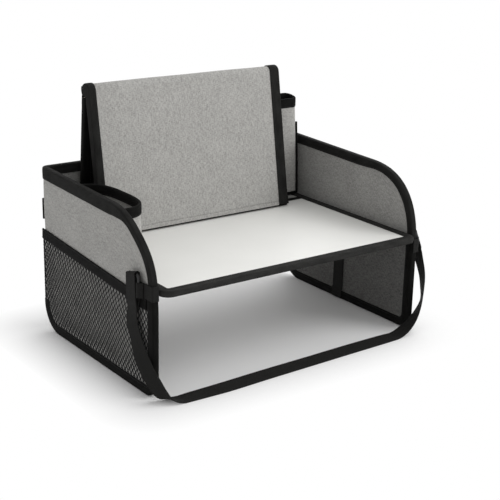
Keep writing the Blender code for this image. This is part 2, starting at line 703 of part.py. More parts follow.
def build_leg(side, sign, origin, grey, dark, black, mesh_finish, board):
    """One folding leg with its cloths, tape, mesh pocket and stay strap."""
    hinge = pivot(f"{side}_leg_pivot", (sign * WING_INNER_X, 0, HINGE_HEIGHT), 0, origin)
    home = from_pivot(hinge)
    inner = WING_INNER_X
    layers = (
        ("inner_cloth", inner, inner + CLOTH, TAPE_REACH, dark),
        ("board", inner + CLOTH + SEAM_GAP, HALF_WIDTH - CLOTH - SEAM_GAP,
         TAPE_REACH + SEAM_GAP, board),
        ("outer_cloth", HALF_WIDTH - CLOTH, HALF_WIDTH, TAPE_REACH, grey),
    )
    for label, near, far, inset, material in layers:
        outline = leg_outline(inset, LEG_TOP, inset)
        low, high = sorted((sign * near, sign * far))
        side_panel(f"{side}_leg_{label}", [outline], low, high, material, hinge)
    tape = sweep(f"{side}_leg_tape", leg_tape_stations(sign * WING_MIDDLE_X), tape_section(PANEL))
    add_piece(f"{side}_leg_tape", tape, black, hinge, home)
    near = HALF_WIDTH + SEAM_GAP
    low, high = sorted((sign * near, sign * (near + NET_THICKNESS)))
    side_panel(f"{side}_pocket_net", net_outlines(), low, high, mesh_finish, hinge)
    low, high = sorted((sign * near, sign * (near + HEM_THICKNESS)))
    side_panel(f"{side}_pocket_hem", [hem_outline()], low, high, black, hinge)
    flat = WING_INNER_X - SEAM_GAP - STAY_THICKNESS / 2
    over_tape = flat - TAPE_REACH
    route = [(flat, LEG_TOP), (flat, TAPE_WIDTH + 4 * STAY_THICKNESS),
             (over_tape, TAPE_WIDTH + 2 * STAY_THICKNESS), (over_tape, STAY_THICKNESS)]
    stations = []
    for across, height in route:
        place = Vector((sign * across, STAY_CENTRE_Y, height))
        stations.append((place, Vector((0, 1, 0)), Vector((1, 0, 0))))
    stay = sweep(f"{side}_stay_strap", stations, strip_section(STAY_WIDTH, STAY_THICKNESS))
    add_piece(f"{side}_stay_strap", stay, black, hinge, home)


def leaf_section(offset, foot):
    """Outline (Y, Z) of the front leaf seen from the side: a slab whose top rolls over the ridge."""
    radius = RIDGE_RADIUS + offset
    end = -math.degrees(RIDGE_WRAP)
    points = [(-radius, foot)]
    points += arc((0, 0), radius, 180, end, 4 * ARC_STEPS)
    points.append((offset, points[-1][1]))
    points.append((offset, foot))
    return points


def roll_cloth_section():
    """Outline (Y, Z) of the front cloth: up the leaf, over the ridge, and folded at the foot."""
    outer = RIDGE_RADIUS
    inner = RIDGE_RADIUS - CLOTH
    end = -math.degrees(RIDGE_WRAP)
    foot = -LEAF_LENGTH
    points = [(-outer, foot)]
    points += arc((0, 0), outer, 180, end, 4 * ARC_STEPS)
    points += arc((0, 0), inner, end, 180, 4 * ARC_STEPS)
    points += [(-inner, foot + CLOTH), (0, foot + CLOTH), (0, foot)]
    return points


def across_piece(name, outline, width, centre, material, parent):
    """Extrude an outline drawn in the leaf's Y and Z across its width."""
    mesh = outline_mesh(name, [outline], width)
    return add_piece(name, mesh, material, parent, (centre, 0, 0), FACING_SIDE)


def build_front_leaf(origin, grey, dark, black, board):
    """Front leaf of the tablet stand, which swings about the ridge."""
    ridge = pivot("front_leaf_pivot", (STAND_CENTRE_X, RIDGE_CENTRE_Y, RIDGE_HEIGHT),
                  -STAND_LEAN, origin)
    width = STAND_WIDTH - 2 * TAPE_REACH
    across_piece("stand_front_cloth", roll_cloth_section(), width, 0, grey, ridge)
    board_front = -RIDGE_RADIUS + CLOTH + SEAM_GAP
    board_back = -CLOTH - SEAM_GAP
    foot = -LEAF_LENGTH + CLOTH + SEAM_GAP
    inner_width = width - 2 * SEAM_GAP
    outline = box_outline(board_front, board_back, foot, -SEAM_GAP)
    across_piece("stand_front_board", outline, inner_width, 0, board, ridge)
    lining_top = -RIDGE_RADIUS
    outline = box_outline(-CLOTH, 0, foot, lining_top)
    across_piece("stand_front_lining", outline, inner_width, 0, dark, ridge)
    for side, sign in (("left", -1), ("right", 1)):
        edge = STAND_WIDTH / 2
        outer = leaf_section(TAPE_REACH, TAPE_REACH - LEAF_LENGTH)
        span = STAND_TAPE_WIDTH
        name = f"stand_front_{side}_tape"
        tape = across_piece(name, outer, span, sign * (edge - span / 2), black, ridge)
        leaf = leaf_section(SEAM_GAP, -LEAF_LENGTH - CUT_OVERRUN)
        hollow = outline_mesh(name + "_hollow", [leaf], span)
        cut(tape, hollow, "DIFFERENCE", (sign * (edge - TAPE - span / 2), 0, 0), FACING_SIDE)


def build_rear_leaf(origin, black, board):
    """Rear leaf of the tablet stand, which swings about its foot at the back wall."""
    foot = pivot("rear_leaf_pivot", (STAND_CENTRE_X, REAR_HINGE_Y, REAR_HINGE_Z),
                 REAR_LEAN, origin)
    width = STAND_WIDTH - 2 * TAPE_REACH
    top = REAR_LEAF_LENGTH - RIDGE_RADIUS - TAPE_REACH - RIDGE_CLEARANCE
    near, far = REAR_LEAF_NEAR, REAR_LEAF_FAR
    board_near = near + CLOTH + SEAM_GAP
    board_far = board_near + REAR_LEAF_BOARD
    layers = (
        ("stand_rear_lining", near, near + CLOTH, width, black),
        ("stand_rear_board", board_near, board_far, width - 2 * SEAM_GAP, board),
        ("stand_rear_cloth", board_far + SEAM_GAP, far, width, black),
    )
    for name, low, high, across, material in layers:
        outline = box_outline(low, high, 0, top)
        across_piece(name, outline, across, 0, material, foot)
    middle = (near + far) / 2
    for side, sign in (("left", -1), ("right", 1)):
        edge = sign * width / 2
        stations = []
        for height in (0, top):
            stations.append((Vector((edge, middle, height)), Vector((sign, 0, 0)),
                             Vector((0, 1, 0))))
        name = f"stand_rear_{side}_tape"
        tape = sweep(name, stations, tape_section(far - near, STAND_TAPE_WIDTH))
        add_piece(name, tape, black, foot)


def loop_mesh(name, centre):
    """Square ring of round bar in a plane that faces sideways."""
    half_y = LOOP_WIDTH / 2 - LOOP_BAR_RADIUS - LOOP_CORNER
    half_z = LOOP_HEIGHT / 2 - LOOP_BAR_RADIUS - LOOP_CORNER
    path = []
    path += arc((half_y, half_z), LOOP_CORNER, 0, 90, LOOP_STEPS)
    path += arc((-half_y, half_z), LOOP_CORNER, 90, 180, LOOP_STEPS)
    path += arc((-half_y, -half_z), LOOP_CORNER, 180, 270, LOOP_STEPS)
    path += arc((half_y, -half_z), LOOP_CORNER, 270, 360, LOOP_STEPS)
    curve = bpy.data.curves.new(name, "CURVE")
    curve.dimensions = "3D"
    curve.bevel_depth = LOOP_BAR_RADIUS
    curve.bevel_resolution = 2
    spline = curve.splines.new("POLY")
    spline.points.add(len(path) - 1)
    for point, (along, height) in zip(spline.points, path):
        point.co = (centre.x, centre.y + along, centre.z + height, 1)
    spline.use_cyclic_u = True
    mesh = mesh_from_curve(name, curve)
    mesh.shade_smooth()
    return mesh


def tab_path(loop_y):
    """Plan path (X, Y) of a right-hand tab: from the wing's front face round the loop's bar."""
    face = FRONT_Y - SEAM_GAP - TAB_THICKNESS / 2
    outside = HALF_WIDTH + TAPE_REACH + SEAM_GAP + TAB_THICKNESS / 2
    bar = (LOOP_X, loop_y - LOOP_WIDTH / 2 + LOOP_BAR_RADIUS)
    wrap = LOOP_BAR_RADIUS + SEAM_GAP + TAB_THICKNESS / 2
    bend = TAB_THICKNESS
    path = [(WING_INNER_X, face)]
    if bar[1] - wrap > face + bend:
        path += arc((outside - bend, face + bend), bend, 270, 360)
        path.append((outside, bar[1] - 2 * wrap))
        path += arc(bar, wrap, 180, -60, 2 * ARC_STEPS)
        path.append((outside + TAB_THICKNESS + SEAM_GAP, bar[1] - 2 * wrap))
    else:
        path.append((HALF_WIDTH, face))
        path += arc(bar, wrap, 110, -90, 2 * ARC_STEPS)
        path.append((WING_MIDDLE_X, bar[1] - wrap))
    return path


def smooth(route, steps):
    """Pass a smooth curve through a route whose first three values are a place."""
    reach = [0.0]
    for start, end in zip(route, route[1:]):
        reach.append(reach[-1] + math.dist(start[:3], end[:3]))
    last = len(route) - 1
    slopes = []
    for index in range(last + 1):
        low, high = max(index - 1, 0), min(index + 1, last)
        span = reach[high] - reach[low]
        slopes.append([(b - a) / span for a, b in zip(route[low], route[high])])
    points = []
    for index in range(last):
        span = reach[index + 1] - reach[index]
        for step in range(steps):
            t = step / steps
            towards = t * t * (3 - 2 * t)
            leaving = t * (1 - t) ** 2 * span
            arriving = t * t * (t - 1) * span
            points.append([
                a + (b - a) * towards + out * leaving + back * arriving
                for a, b, out, back in zip(route[index], route[index + 1],
                                           slopes[index], slopes[index + 1])
            ])
    points.append(list(route[-1]))
    return points


def strap_end(sign, loop_y, loop_top, next_place):
    """Route of one folded strap end: up inside the loop, over its top bar and down outside."""
    centre_y = loop_y + STRAP_SHIFT
    bar_height = loop_top - LOOP_BAR_RADIUS
    wrap = LOOP_BAR_RADIUS + LOOP_EASE + STRAP_THICKNESS / 2
    ply = (STRAP_THICKNESS + SEAM_GAP) / 2
    drift, drop = next_place[1] - centre_y, bar_height - next_place[2]
    inner, outer = [], []
    for drop_share, spread in zip(FOLD_SHARES, (ply, ply, wrap)):
        height = bar_height - FOLD_LENGTH * drop_share
        along = centre_y + drift * ((bar_height - height) / drop) ** FOLD_BEND
        inner.append((sign * (LOOP_X - spread), along, height, 0, 1, 0))
        outer.append((sign * (LOOP_X + spread), along, height, 0, 1, 0))
    over = []
    for across, rise in arc((LOOP_X, bar_height), wrap, 180, 0, 4):
        over.append((sign * across, centre_y, rise, 0, 1, 0))
    return inner + over + outer[::-1]


def strap_route():
    """Stations of the waist strap from its left loop, along the floor, to its right loop."""
    def hanging(shares):
        return [(side * LOOP_X, FRONT_Y - forward * STRAP_REACH, height * LOOP_TOP_HEIGHT,
                 *width) for side, forward, height, width in shares]

    lying = []
    for side, forward, lift in FLOOR_SHARES:
        tilt = math.radians(lift)
        height = STRAP_WIDTH / 2 * math.sin(tilt) + STRAP_THICKNESS / 2 * math.cos(tilt)
        lying.append((side * LOOP_X, FRONT_Y - forward * STRAP_REACH, height,
                      0, math.cos(tilt), math.sin(tilt)))
    left = hanging(LEFT_DROP_SHARES)
    right = hanging(RIGHT_DROP_SHARES)
    left_end = strap_end(-1, LEFT_LOOP_Y, LOOP_TOP_HEIGHT, left[0])
    right_end = strap_end(1, RIGHT_LOOP_Y, RIGHT_LOOP_TOP_HEIGHT, right[-1])
    route = smooth(left_end + left + lying + right + right_end[::-1], STRAP_STEPS)
    stations = []
    for index, spot in enumerate(route):
        before = Vector(route[max(index - 1, 0)][:3])
        after = Vector(route[min(index + 1, len(route) - 1)][:3])
        direction = (after - before).normalized()
        width = Vector(spot[3:])
        width = (width - direction * width.dot(direction)).normalized()
        facing = direction.cross(width)
        place = Vector(spot[:3])
        half_height = STRAP_WIDTH / 2 * abs(width.z) + STRAP_THICKNESS / 2 * abs(facing.z)
        place.z = max(place.z, half_height)
        stations.append((place, width, facing))
    return stations


def build_strap(tray, black):
    """Waist strap with the loops and tabs that hold it at the front of the wings."""
    loops = (("left", -1, LEFT_LOOP_Y, LOOP_TOP_HEIGHT),
             ("right", 1, RIGHT_LOOP_Y, RIGHT_LOOP_TOP_HEIGHT))
    for side, sign, loop_y, loop_top in loops:
        middle = loop_top - LOOP_HEIGHT / 2
        name = f"{side}_strap_loop"
        mesh = loop_mesh(name, Vector((sign * LOOP_X, loop_y, middle)))
        add_piece(name, mesh, black, tray)
        path = [(sign * across, along) for across, along in tab_path(loop_y)]
        section = wall_section(middle - TAB_WIDTH / 2, middle + TAB_WIDTH / 2, TAB_THICKNESS)
        name = f"{side}_strap_tab"
        add_piece(name, sweep(name, path_stations(path, 0), section), black, tray)
    strap = sweep("waist_strap", strap_route(), strip_section(STRAP_WIDTH, STRAP_THICKNESS))
    add_piece("waist_strap", strap, black, tray)


def build_pull_tab(tray, black):
    """Small folded tab at the left rear corner."""
    low = PULL_TAB_CENTRE_Z - PULL_TAB_HEIGHT / 2
    high = PULL_TAB_CENTRE_Z + PULL_TAB_HEIGHT / 2
    near = BACK_Y + SEAM_GAP
    left = -HALF_WIDTH + PULL_TAB_INSET
    outline = box_outline(left, left + PULL_TAB_LENGTH, near, near + TAB_THICKNESS)
    lying_panel("pull_tab", [outline], low, high, black, tray)


def centre_on_footprint(origin):
    """Move the whole model so that the middle of its footprint is the origin."""
    bpy.context.view_layer.update()
    graph = bpy.context.evaluated_depsgraph_get()
    corners = []
    for piece in PIECES.objects:
        if piece.type == "MESH":
            shape = piece.evaluated_get(graph)
            corners += [shape.matrix_world @ Vector(corner) for corner in shape.bound_box]
    low = Vector([min(corner[axis] for corner in corners) for axis in range(3)])
    high = Vector([max(corner[axis] for corner in corners) for axis in range(3)])
    origin.location = (-(low.x + high.x) / 2, -(low.y + high.y) / 2, -low.z)
    bpy.context.view_layer.update()


def main():
    """Build the tray table and centre it on its footprint."""
    origin = bpy.data.objects.new("tray_origin", None)
    PIECES.objects.link(origin)
    grey = finish("grey_cloth", GREY, 0.9)
    dark = finish("dark_grey_cloth", DARK_GREY, 0.9)
    black = finish("black_tape", BLACK, 0.75)
    white = finish("white_sheet", WHITE, 0.35)
    board = finish("stiffener_board", BOARD_COLOUR, 0.8)
    mesh_finish = finish("mesh_net", DARK_GREY, 0.7)
    build_walls(origin, grey, dark, black, board)
    build_table(origin, grey, dark, black, white, board)
    build_cup_pocket(origin, grey, black)
    build_bottle_pocket(origin, grey, black)
    for side, sign in (("left", -1), ("right", 1)):
        build_leg(side, sign, origin, grey, dark, black, mesh_finish, board)
    build_front_leaf(origin, grey, dark, black, board)
    build_rear_leaf(origin, black, board)
    build_strap(origin, black)
    build_pull_tab(origin, black)
    centre_on_footprint(origin)


main()
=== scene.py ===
"""Dressed model of a car seat tray table: cloth, folded tape, webbing, net and stitches."""

import logging
import math
from dataclasses import dataclass, field
from enum import Enum
from typing import Callable, Iterable, Sequence

import bmesh
import bpy
import numpy as np
from mathutils import Matrix, Vector, noise


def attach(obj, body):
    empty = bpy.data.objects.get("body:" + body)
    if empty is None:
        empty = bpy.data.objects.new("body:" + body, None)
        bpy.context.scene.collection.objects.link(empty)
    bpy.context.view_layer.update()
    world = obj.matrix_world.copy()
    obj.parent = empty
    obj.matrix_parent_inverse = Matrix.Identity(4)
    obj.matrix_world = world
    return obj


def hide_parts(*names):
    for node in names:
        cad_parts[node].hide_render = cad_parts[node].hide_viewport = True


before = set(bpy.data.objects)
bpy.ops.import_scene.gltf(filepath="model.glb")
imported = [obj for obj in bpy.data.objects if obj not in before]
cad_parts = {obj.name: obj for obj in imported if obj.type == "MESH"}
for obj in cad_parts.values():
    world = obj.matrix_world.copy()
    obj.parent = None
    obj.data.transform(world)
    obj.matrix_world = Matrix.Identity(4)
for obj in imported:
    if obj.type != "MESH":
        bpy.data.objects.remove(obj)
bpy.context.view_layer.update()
LOG = logging.getLogger("tray_table")

MM = 0.001
# The tray's own middle, in millimetres from the origin under the whole object
TRAY_ORIGIN = Vector((-2.843, 14.139, 0.0))
FLAT_MAP = "flat"
SMOOTH_ANGLE = math.radians(38)

Flat = tuple[float, float]
Outline = list[Flat]

# Sizes of the model, in millimetres from the middle of the tray on the floor
HALF_WIDTH = 200.0
FRONT_Y = -134.5
BACK_Y = 134.5
TABLE_HEIGHT = 130.0
RIM_REAR = 216.5
RIM_FRONT = 212.0
CURVE_DEPTH = 95.0
CURVE_DROP = 110.0
CORNER_RADIUS = 9.0
CLOTH = 1.2
SEAM_GAP = 0.3
TAPE = 0.9
TAPE_WIDTH = 11.0
REACH = SEAM_GAP + TAPE
PANEL = 6.0
WING_INNER_X = HALF_WIDTH - PANEL
WING_MIDDLE_X = HALF_WIDTH - PANEL / 2
BACK_INNER_Y = BACK_Y - PANEL
CURVE_CENTRE = (FRONT_Y + CURVE_DEPTH, RIM_FRONT - CURVE_DROP)
TABLE_PANEL = 5.2
HINGE_HEIGHT = 120.6
WING_BOTTOM = HINGE_HEIGHT + 0.4
LEG_TOP = HINGE_HEIGHT - 0.4
DECK_TOP = TABLE_HEIGHT + REACH
POCKET_X = WING_INNER_X - REACH - SEAM_GAP
TABLE_FRONT = FRONT_Y - 10.0
TABLE_CORNER = 14.0
LEG_FRONT_RADIUS = 18.0
LEG_REAR_RADIUS = 37.0
LEG_TAPE_END = 40.0
BOW_RIGHT = 7.7
BOW_LEFT = 4.4
BOW_LEFT_END = math.radians(58)
CUP_DEPTH = 40.5
CUP_HALF = 62.0
CUP_MIDDLE = 5.0
CUP_POWER = 2 / 3.0
BOTTLE_LENGTH = 45.0
BOTTLE_DEPTH = 25.0
BOTTLE_CORNER = 11.0
STITCH_INSET = 1.9
STITCH_SINK = 0.05
PATH_STEP = 7.0


class Body(Enum):
    """Moving groups of the tray table."""

    TRAY = "tray"
    LEFT_LEG = "left_leg"
    RIGHT_LEG = "right_leg"
    STAND_REAR = "stand_rear"
    STAND_FRONT = "stand_front"


class Slot(Enum):
    """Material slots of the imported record."""

    CLOTH = "grey_cloth"
    DARK_CLOTH = "dark_grey_cloth"
    BLACK_CLOTH = "black_cloth"
    TAPE = "black_tape"
    WEBBING = "black_webbing"
    NET = "mesh_net"
    SHEET = "white_sheet"
    PLASTIC = "black_plastic"


class Side(Enum):
    """Left and right half of the tray, seen by the child who sits at it."""

    LEFT = -1
    RIGHT = 1

    @property
    def label(self) -> str:
        """Word that the names of this side's pieces start with."""
        return self.name.lower()

    @property
    def leg(self) -> Body:
        """Body of the leg on this side."""
        return Body.LEFT_LEG if self is Side.LEFT else Body.RIGHT_LEG

    @property
    def panel(self) -> list[float]:
        """X range of this side's panels, just inside their cloth faces."""
        return sorted((self.value * (WING_INNER_X + 0.1), self.value * (HALF_WIDTH - 0.1)))


# ---- Shader arithmetic

class Signal:
    """A shader socket that takes part in Python arithmetic."""

    def __init__(self, graph: "Nodes", socket: bpy.types.NodeSocket) -> None:
        """Wrap one output socket of a graph."""
        self.graph = graph
        self.socket = socket

    def math(self, operation: str, *others: "Signal | float") -> "Signal":
        """Apply a math operation to this value and the others."""
        values = dict(enumerate((self, *others)))
        return self.graph.add("ShaderNodeMath", {"operation": operation}, values)

    def __add__(self, other: "Signal | float") -> "Signal":
        """Sum."""
        return self.math("ADD", other)

    __radd__ = __add__

    def __sub__(self, other: "Signal | float") -> "Signal":
        """Difference."""
        return self.math("SUBTRACT", other)

    def __rsub__(self, other: float) -> "Signal":
        """Difference from a number."""
        return self.graph.add("ShaderNodeMath", {"operation": "SUBTRACT"}, {0: other, 1: self})

    def __mul__(self, other: "Signal | float") -> "Signal":
        """Product."""
        return self.math("MULTIPLY", other)

    __rmul__ = __mul__

    def wave(self) -> "Signal":
        """Sine of this value."""
        return self.math("SINE")

    def within(self, low: float = 0.0, high: float = 1.0) -> "Signal":
        """Keep this value between two numbers."""
        return self.math("MAXIMUM", low).math("MINIMUM", high)


Colour = tuple[float, float, float]
WHITE = (1.0, 1.0, 1.0, 1.0)


class Nodes:
    """Nodes of one tree, built from expressions."""

    def __init__(self, tree: bpy.types.NodeTree) -> None:
        """Work on a tree that exists."""
        self.tree = tree

    def add(self, kind: str, settings: dict | None = None, values: dict | None = None,
            output: int | str = 0) -> Signal:
        """Add a node.

        Args:
            kind: the node's type.
            settings: properties that are set before its sockets.
            values: numbers, colours or signals by socket name or number.
            output: name or number of the socket to hand back.

        Returns:
            The chosen output as a signal.
        """
        node = self.tree.nodes.new(kind)
        for key, value in (settings or {}).items():
            setattr(node, key, value)
        for key, value in (values or {}).items():
            if isinstance(value, Signal):
                self.tree.links.new(value.socket, node.inputs[key])
            else:
                node.inputs[key].default_value = value
        return Signal(self, node.outputs[output])

    def vector(self, operation: str, *values: "Signal | Sequence[float]") -> Signal:
        """Work on vectors with one Vector Math node."""
        return self.add("ShaderNodeVectorMath", {"operation": operation},
                        dict(enumerate(values)))

    def seen(self) -> Signal:
        """Tell whether a ray comes from the camera or from metal or glass."""
        rays = self.add("ShaderNodeLightPath", output="Is Camera Ray")
        outputs = rays.socket.node.outputs
        for ray in ("Is Glossy Ray", "Is Transmission Ray"):
            rays = rays.math("MAXIMUM", Signal(self, outputs[ray]))
        return rays


class Graph(Nodes):
    """Node graph of one material."""

    def __init__(self, name: str) -> None:
        """Make a material with its Principled shader."""
        self.material = bpy.data.materials.new(name)
        self.material.use_nodes = True
        super().__init__(self.material.node_tree)
        self.shader = self.tree.nodes["Principled BSDF"]

    def constants(self, **values: float) -> None:
        """Set numbers on the shader's own sockets, words joined by underscores."""
        for key, value in values.items():
            self.shader.inputs[key.replace("_", " ")].default_value = value

    def feed(self, socket: str, signal: Signal) -> None:
        """Link a signal to one of the shader's sockets."""
        self.tree.links.new(signal.socket, self.shader.inputs[socket])

    def flat(self) -> tuple[Signal, Signal]:
        """Place on the piece's own cloth, in millimetres along and across."""
        place = self.add("ShaderNodeUVMap", {"uv_map": FLAT_MAP})
        spread = self.add("ShaderNodeSeparateXYZ", values={0: place})
        second = Signal(self, spread.socket.node.outputs[1])
        return spread, second

    def noise(self, u: Signal, v: Signal, fine_u: float, fine_v: float, seed: float,
              detail: float = 2.0) -> Signal:
        """Soft noise whose spots are 1 / fine_u by 1 / fine_v millimetres."""
        place = self.add("ShaderNodeCombineXYZ", values={0: u * fine_u, 1: v * fine_v, 2: seed})
        return self.add("ShaderNodeTexNoise", values={
            "Vector": place, "Scale": 1.0, "Detail": detail, "Roughness": 0.55})

    def grain(self, place: Signal, scale: float, detail: float = 2.0) -> Signal:
        """Plain noise with a number of spots to the metre."""
        return self.add("ShaderNodeTexNoise", values={
            "Vector": place, "Scale": scale, "Detail": detail})

    def shade(self, share: Signal, dark: Colour, light: Colour) -> None:
        """Colour the surface between two shades by a share."""
        self.feed("Base Color", self.add("ShaderNodeMix", {"data_type": "RGBA"}, {
            0: share.within(), 6: (*dark, 1.0), 7: (*light, 1.0)}, output=2))

    def bump(self, height: Signal, depth_mm: float, strength: float = 1.0) -> None:
        """Raise the surface by a height signal."""
        relief = self.add("ShaderNodeBump", values={
            "Height": height, "Distance": depth_mm * MM, "Strength": strength})
        self.feed("Normal", relief)


# ---- Finishes

@dataclass(frozen=True)
class Finish:
    """Base of the finishes: two shades, and a material that is made once and then shared."""

    name: str
    dark: Colour
    light: Colour

    def make(self) -> bpy.types.Material:
        """Return the finish's material, painting it on first use."""
        made = bpy.data.materials.get(self.name)
        if made:
            return made
        graph = Graph(self.name)
        self.paint(graph)
        return graph.material

    def paint(self, graph: Graph) -> None:
        """Feed the material's shader."""
        raise NotImplementedError


@dataclass(frozen=True)
class HeatherCloth(Finish):
    """Plain-woven polyester of mixed light and dark yarns."""

    yarn: float = 0.85
    contrast: float = 2.5
    seed: float = 1.0

    def paint(self, graph: Graph) -> None:
        """Warp and weft slubs over a plain weave."""
        u, v = graph.flat()
        fine, long = 1.2 / self.yarn, 0.24
        warp = graph.noise(u, v, fine, long, self.seed)
        weft = graph.noise(u, v, long, fine, self.seed + 7.3)
        cloud = graph.noise(u, v, 0.035, 0.035, self.seed + 3.1, 3.0)
        turn = 2 * math.pi / (2 * self.yarn)
        weave = (u * turn).wave() * (v * turn).wave()
        share = (warp + weft - 1.0) * self.contrast + 0.5 + (cloud - 0.5) * 0.5 + weave * 0.12
        graph.shade(share, self.dark, self.light)
        graph.feed("Roughness", (warp * 0.16 + 0.80).within(0.5, 1.0))
        slack = graph.noise(u, v, 0.03, 0.024, self.seed + 11.0, 1.0)
        graph.bump(weave * 0.5 + (warp + weft) * 0.6 + slack * 9.0, 0.16, 0.7)
        graph.constants(Specular_IOR_Level=0.15, Sheen_Weight=0.04, Sheen_Roughness=0.5)


@dataclass(frozen=True)
class RibbedTape(Finish):
    """Grosgrain binding: fine ribs that run across the tape."""

    rib: float = 0.8

    def paint(self, graph: Graph) -> None:
        """Cross ribs with lint and a slight change of shade along the tape."""
        u, v = graph.flat()
        ribs = (u * (2 * math.pi / self.rib)).wave() * 0.5 + 0.5
        lint = graph.noise(u, v, 0.9, 2.2, 4.0, 3.0)
        drift = graph.noise(u, v, 0.05, 0.12, 9.0, 2.0)
        share = ribs * 0.25 + (lint - 0.5) * 1.3 + (drift - 0.5) * 0.8 + 0.35
        graph.shade(share, self.dark, self.light)
        graph.feed("Roughness", (lint * 0.25 + 0.62).within(0.4, 1.0))
        graph.bump(ribs + lint * 0.6 + drift * 2.0, 0.14, 0.8)
        graph.constants(Specular_IOR_Level=0.05, Sheen_Weight=0.01, Sheen_Roughness=0.4)


@dataclass(frozen=True)
class TwillWebbing(Finish):
    """Flat webbing with a chevron twill that runs along it."""

    rib: float = 1.3

    def paint(self, graph: Graph) -> None:
        """Chevrons that meet on the middle line, over fine cross yarns."""
        u, v = graph.flat()
        fold = v.math("PINGPONG", 5.0)
        chevron = ((u + fold) * (2 * math.pi / self.rib)).wave() * 0.5 + 0.5
        yarn = (v * (2 * math.pi / 0.7)).wave() * 0.5 + 0.5
        lint = graph.noise(u, v, 0.8, 1.6, 5.0, 3.0)
        share = chevron * 0.30 + yarn * 0.12 + (lint - 0.5) * 1.1 + 0.25
        graph.shade(share, self.dark, self.light)
        graph.feed("Roughness", (lint * 0.2 + 0.58).within(0.4, 1.0))
        graph.bump(chevron + yarn * 0.5 + lint * 0.5, 0.16, 0.8)
        graph.constants(Specular_IOR_Level=0.06, Sheen_Weight=0.01)


@dataclass(frozen=True)
class Thread(Finish):
    """Twisted yarn of stitches and nets."""

    def paint(self, graph: Graph) -> None:
        """Fine twist read from the piece's own place."""
        place = graph.add("ShaderNodeTexCoord", output="Object")
        twist, cloud = graph.grain(place, 1500.0), graph.grain(place, 60.0)
        share = (twist - 0.5) * 1.6 + (cloud - 0.5) * 0.8 + 0.5
        graph.shade(share, self.dark, self.light)
        graph.feed("Roughness", (twist * 0.3 + 0.5).within(0.3, 1.0))
        graph.bump(twist, 0.08, 0.6)
        graph.constants(Specular_IOR_Level=0.15)


@dataclass(frozen=True)
class WipeCleanFilm(Finish):
    """Smooth pale film on the table top."""

    def paint(self, graph: Graph) -> None:
        """Faint clouds, fine scuffs and a soft gloss."""
        u, v = graph.flat()
        cloud = graph.noise(u, v, 0.014, 0.014, 2.0, 3.0)
        grain = graph.noise(u, v, 1.4, 1.4, 6.0, 2.0)
        scuff = graph.noise(u, v, 0.02, 0.9, 8.0, 3.0)
        share = (cloud - 0.5) * 1.2 + (grain - 0.5) * 0.25 + 0.5
        graph.shade(share, self.dark, self.light)
        graph.feed("Roughness", (scuff * 0.16 + 0.36 + grain * 0.06).within(0.2, 0.8))
        graph.bump(cloud * 3.0 + grain * 0.12, 0.25, 0.35)
        graph.constants(Specular_IOR_Level=0.45)


@dataclass(frozen=True)
class Moulded(Finish):
    """Moulded plastic, or the plain board hidden in the panels."""

    roughness: float
    grain_scale: float = 900.0

    def paint(self, graph: Graph) -> None:
        """Fine grain read from the piece's own place."""
        place = graph.add("ShaderNodeTexCoord", output="Object")
        grain = graph.grain(place, self.grain_scale, 3.0)
        flow = graph.grain(place, self.grain_scale / 30)
        share = (grain - 0.5) * 0.8 + (flow - 0.5) + 0.5
        graph.shade(share, self.dark, self.light)
        graph.feed("Roughness", (grain * 0.2 + self.roughness - 0.1).within(0.1, 1.0))
        graph.bump(grain, 0.05, 0.4)
        graph.constants(Specular_IOR_Level=0.4)


GREY = HeatherCloth("heather_grey_cloth", (0.285, 0.280, 0.268), (0.485, 0.478, 0.458))
DARK = HeatherCloth("heather_grey_lining", (0.225, 0.222, 0.214), (0.390, 0.385, 0.372), seed=5.0)
INK = HeatherCloth("plain_black_cloth", (0.0030, 0.0030, 0.0030), (0.0110, 0.0110, 0.0108),
                   contrast=1.2, seed=9.0)
# Leg lining: the dark grey cloth, painted darker still to stand for the shade under the table.
SHADED_LEG_LINING = HeatherCloth("dark_grey_leg_lining", (0.075, 0.074, 0.071), (0.165, 0.163, 0.157),
                          seed=13.0)
BINDING = RibbedTape("black_grosgrain", (0.0010, 0.0010, 0.0009), (0.0135, 0.0134, 0.0126))
# Lighter copies of the black grosgrain: painted sheen for tape on upward and outward edges,
# lightest on the table's front edge.
SHEEN_EDGING = RibbedTape("black_edge_grosgrain", (0.0030, 0.0030, 0.0028), (0.0300, 0.0298, 0.0284))
TABLE_SHEEN_EDGING = RibbedTape("black_table_grosgrain", (0.0060, 0.0060, 0.0057),
                          (0.0480, 0.0476, 0.0455))
WEBBING = TwillWebbing("black_twill_webbing", (0.0032, 0.0032, 0.0030), (0.0310, 0.0307, 0.0294))
NET_YARN = Thread("net_yarn", (0.010, 0.010, 0.011), (0.030, 0.030, 0.031))
SEWING = Thread("sewing_thread", (0.014, 0.014, 0.015), (0.040, 0.040, 0.041))
PALE_SEWING = Thread("pale_sewing_thread", (0.200, 0.197, 0.190), (0.330, 0.325, 0.312))
FILM = WipeCleanFilm("wipe_clean_film", (0.835, 0.833, 0.803), (0.885, 0.883, 0.853))
RING = Moulded("satin_black_plastic", (0.006, 0.006, 0.006), (0.014, 0.014, 0.014), 0.40)
CORE = Moulded("stiffener_board", (0.46, 0.43, 0.37), (0.60, 0.56, 0.48), 0.75, 400.0)


# ---- Shapes

def arc(centre: Flat, radius: float, start: float, end: float, steps: int = 10) -> Outline:
    """List points on a circular arc between two angles in degrees."""
    points = []
    for step in range(steps + 1):
        angle = math.radians(start + (end - start) * step / steps)
        points.append((centre[0] + radius * math.cos(angle), centre[1] + radius * math.sin(angle)))
    return points


def spaced(points: Sequence[Sequence[float]], step: float) -> list[tuple[float, ...]]:
    """Split the segments of a path so that none is longer than a step."""
    made = [tuple(points[0])]
    for start, end in zip(points, points[1:]):
        count = max(1, math.ceil(math.dist(start, end) / step))
        for index in range(1, count + 1):
            share = index / count
            made.append(tuple(a + (b - a) * share for a, b in zip(start, end)))
    return made


def rectangle(left: float, right: float, low: float, high: float) -> Outline:
    """Corners of a rectangle, round from its low left one."""
    return [(left, low), (right, low), (right, high), (left, high)]


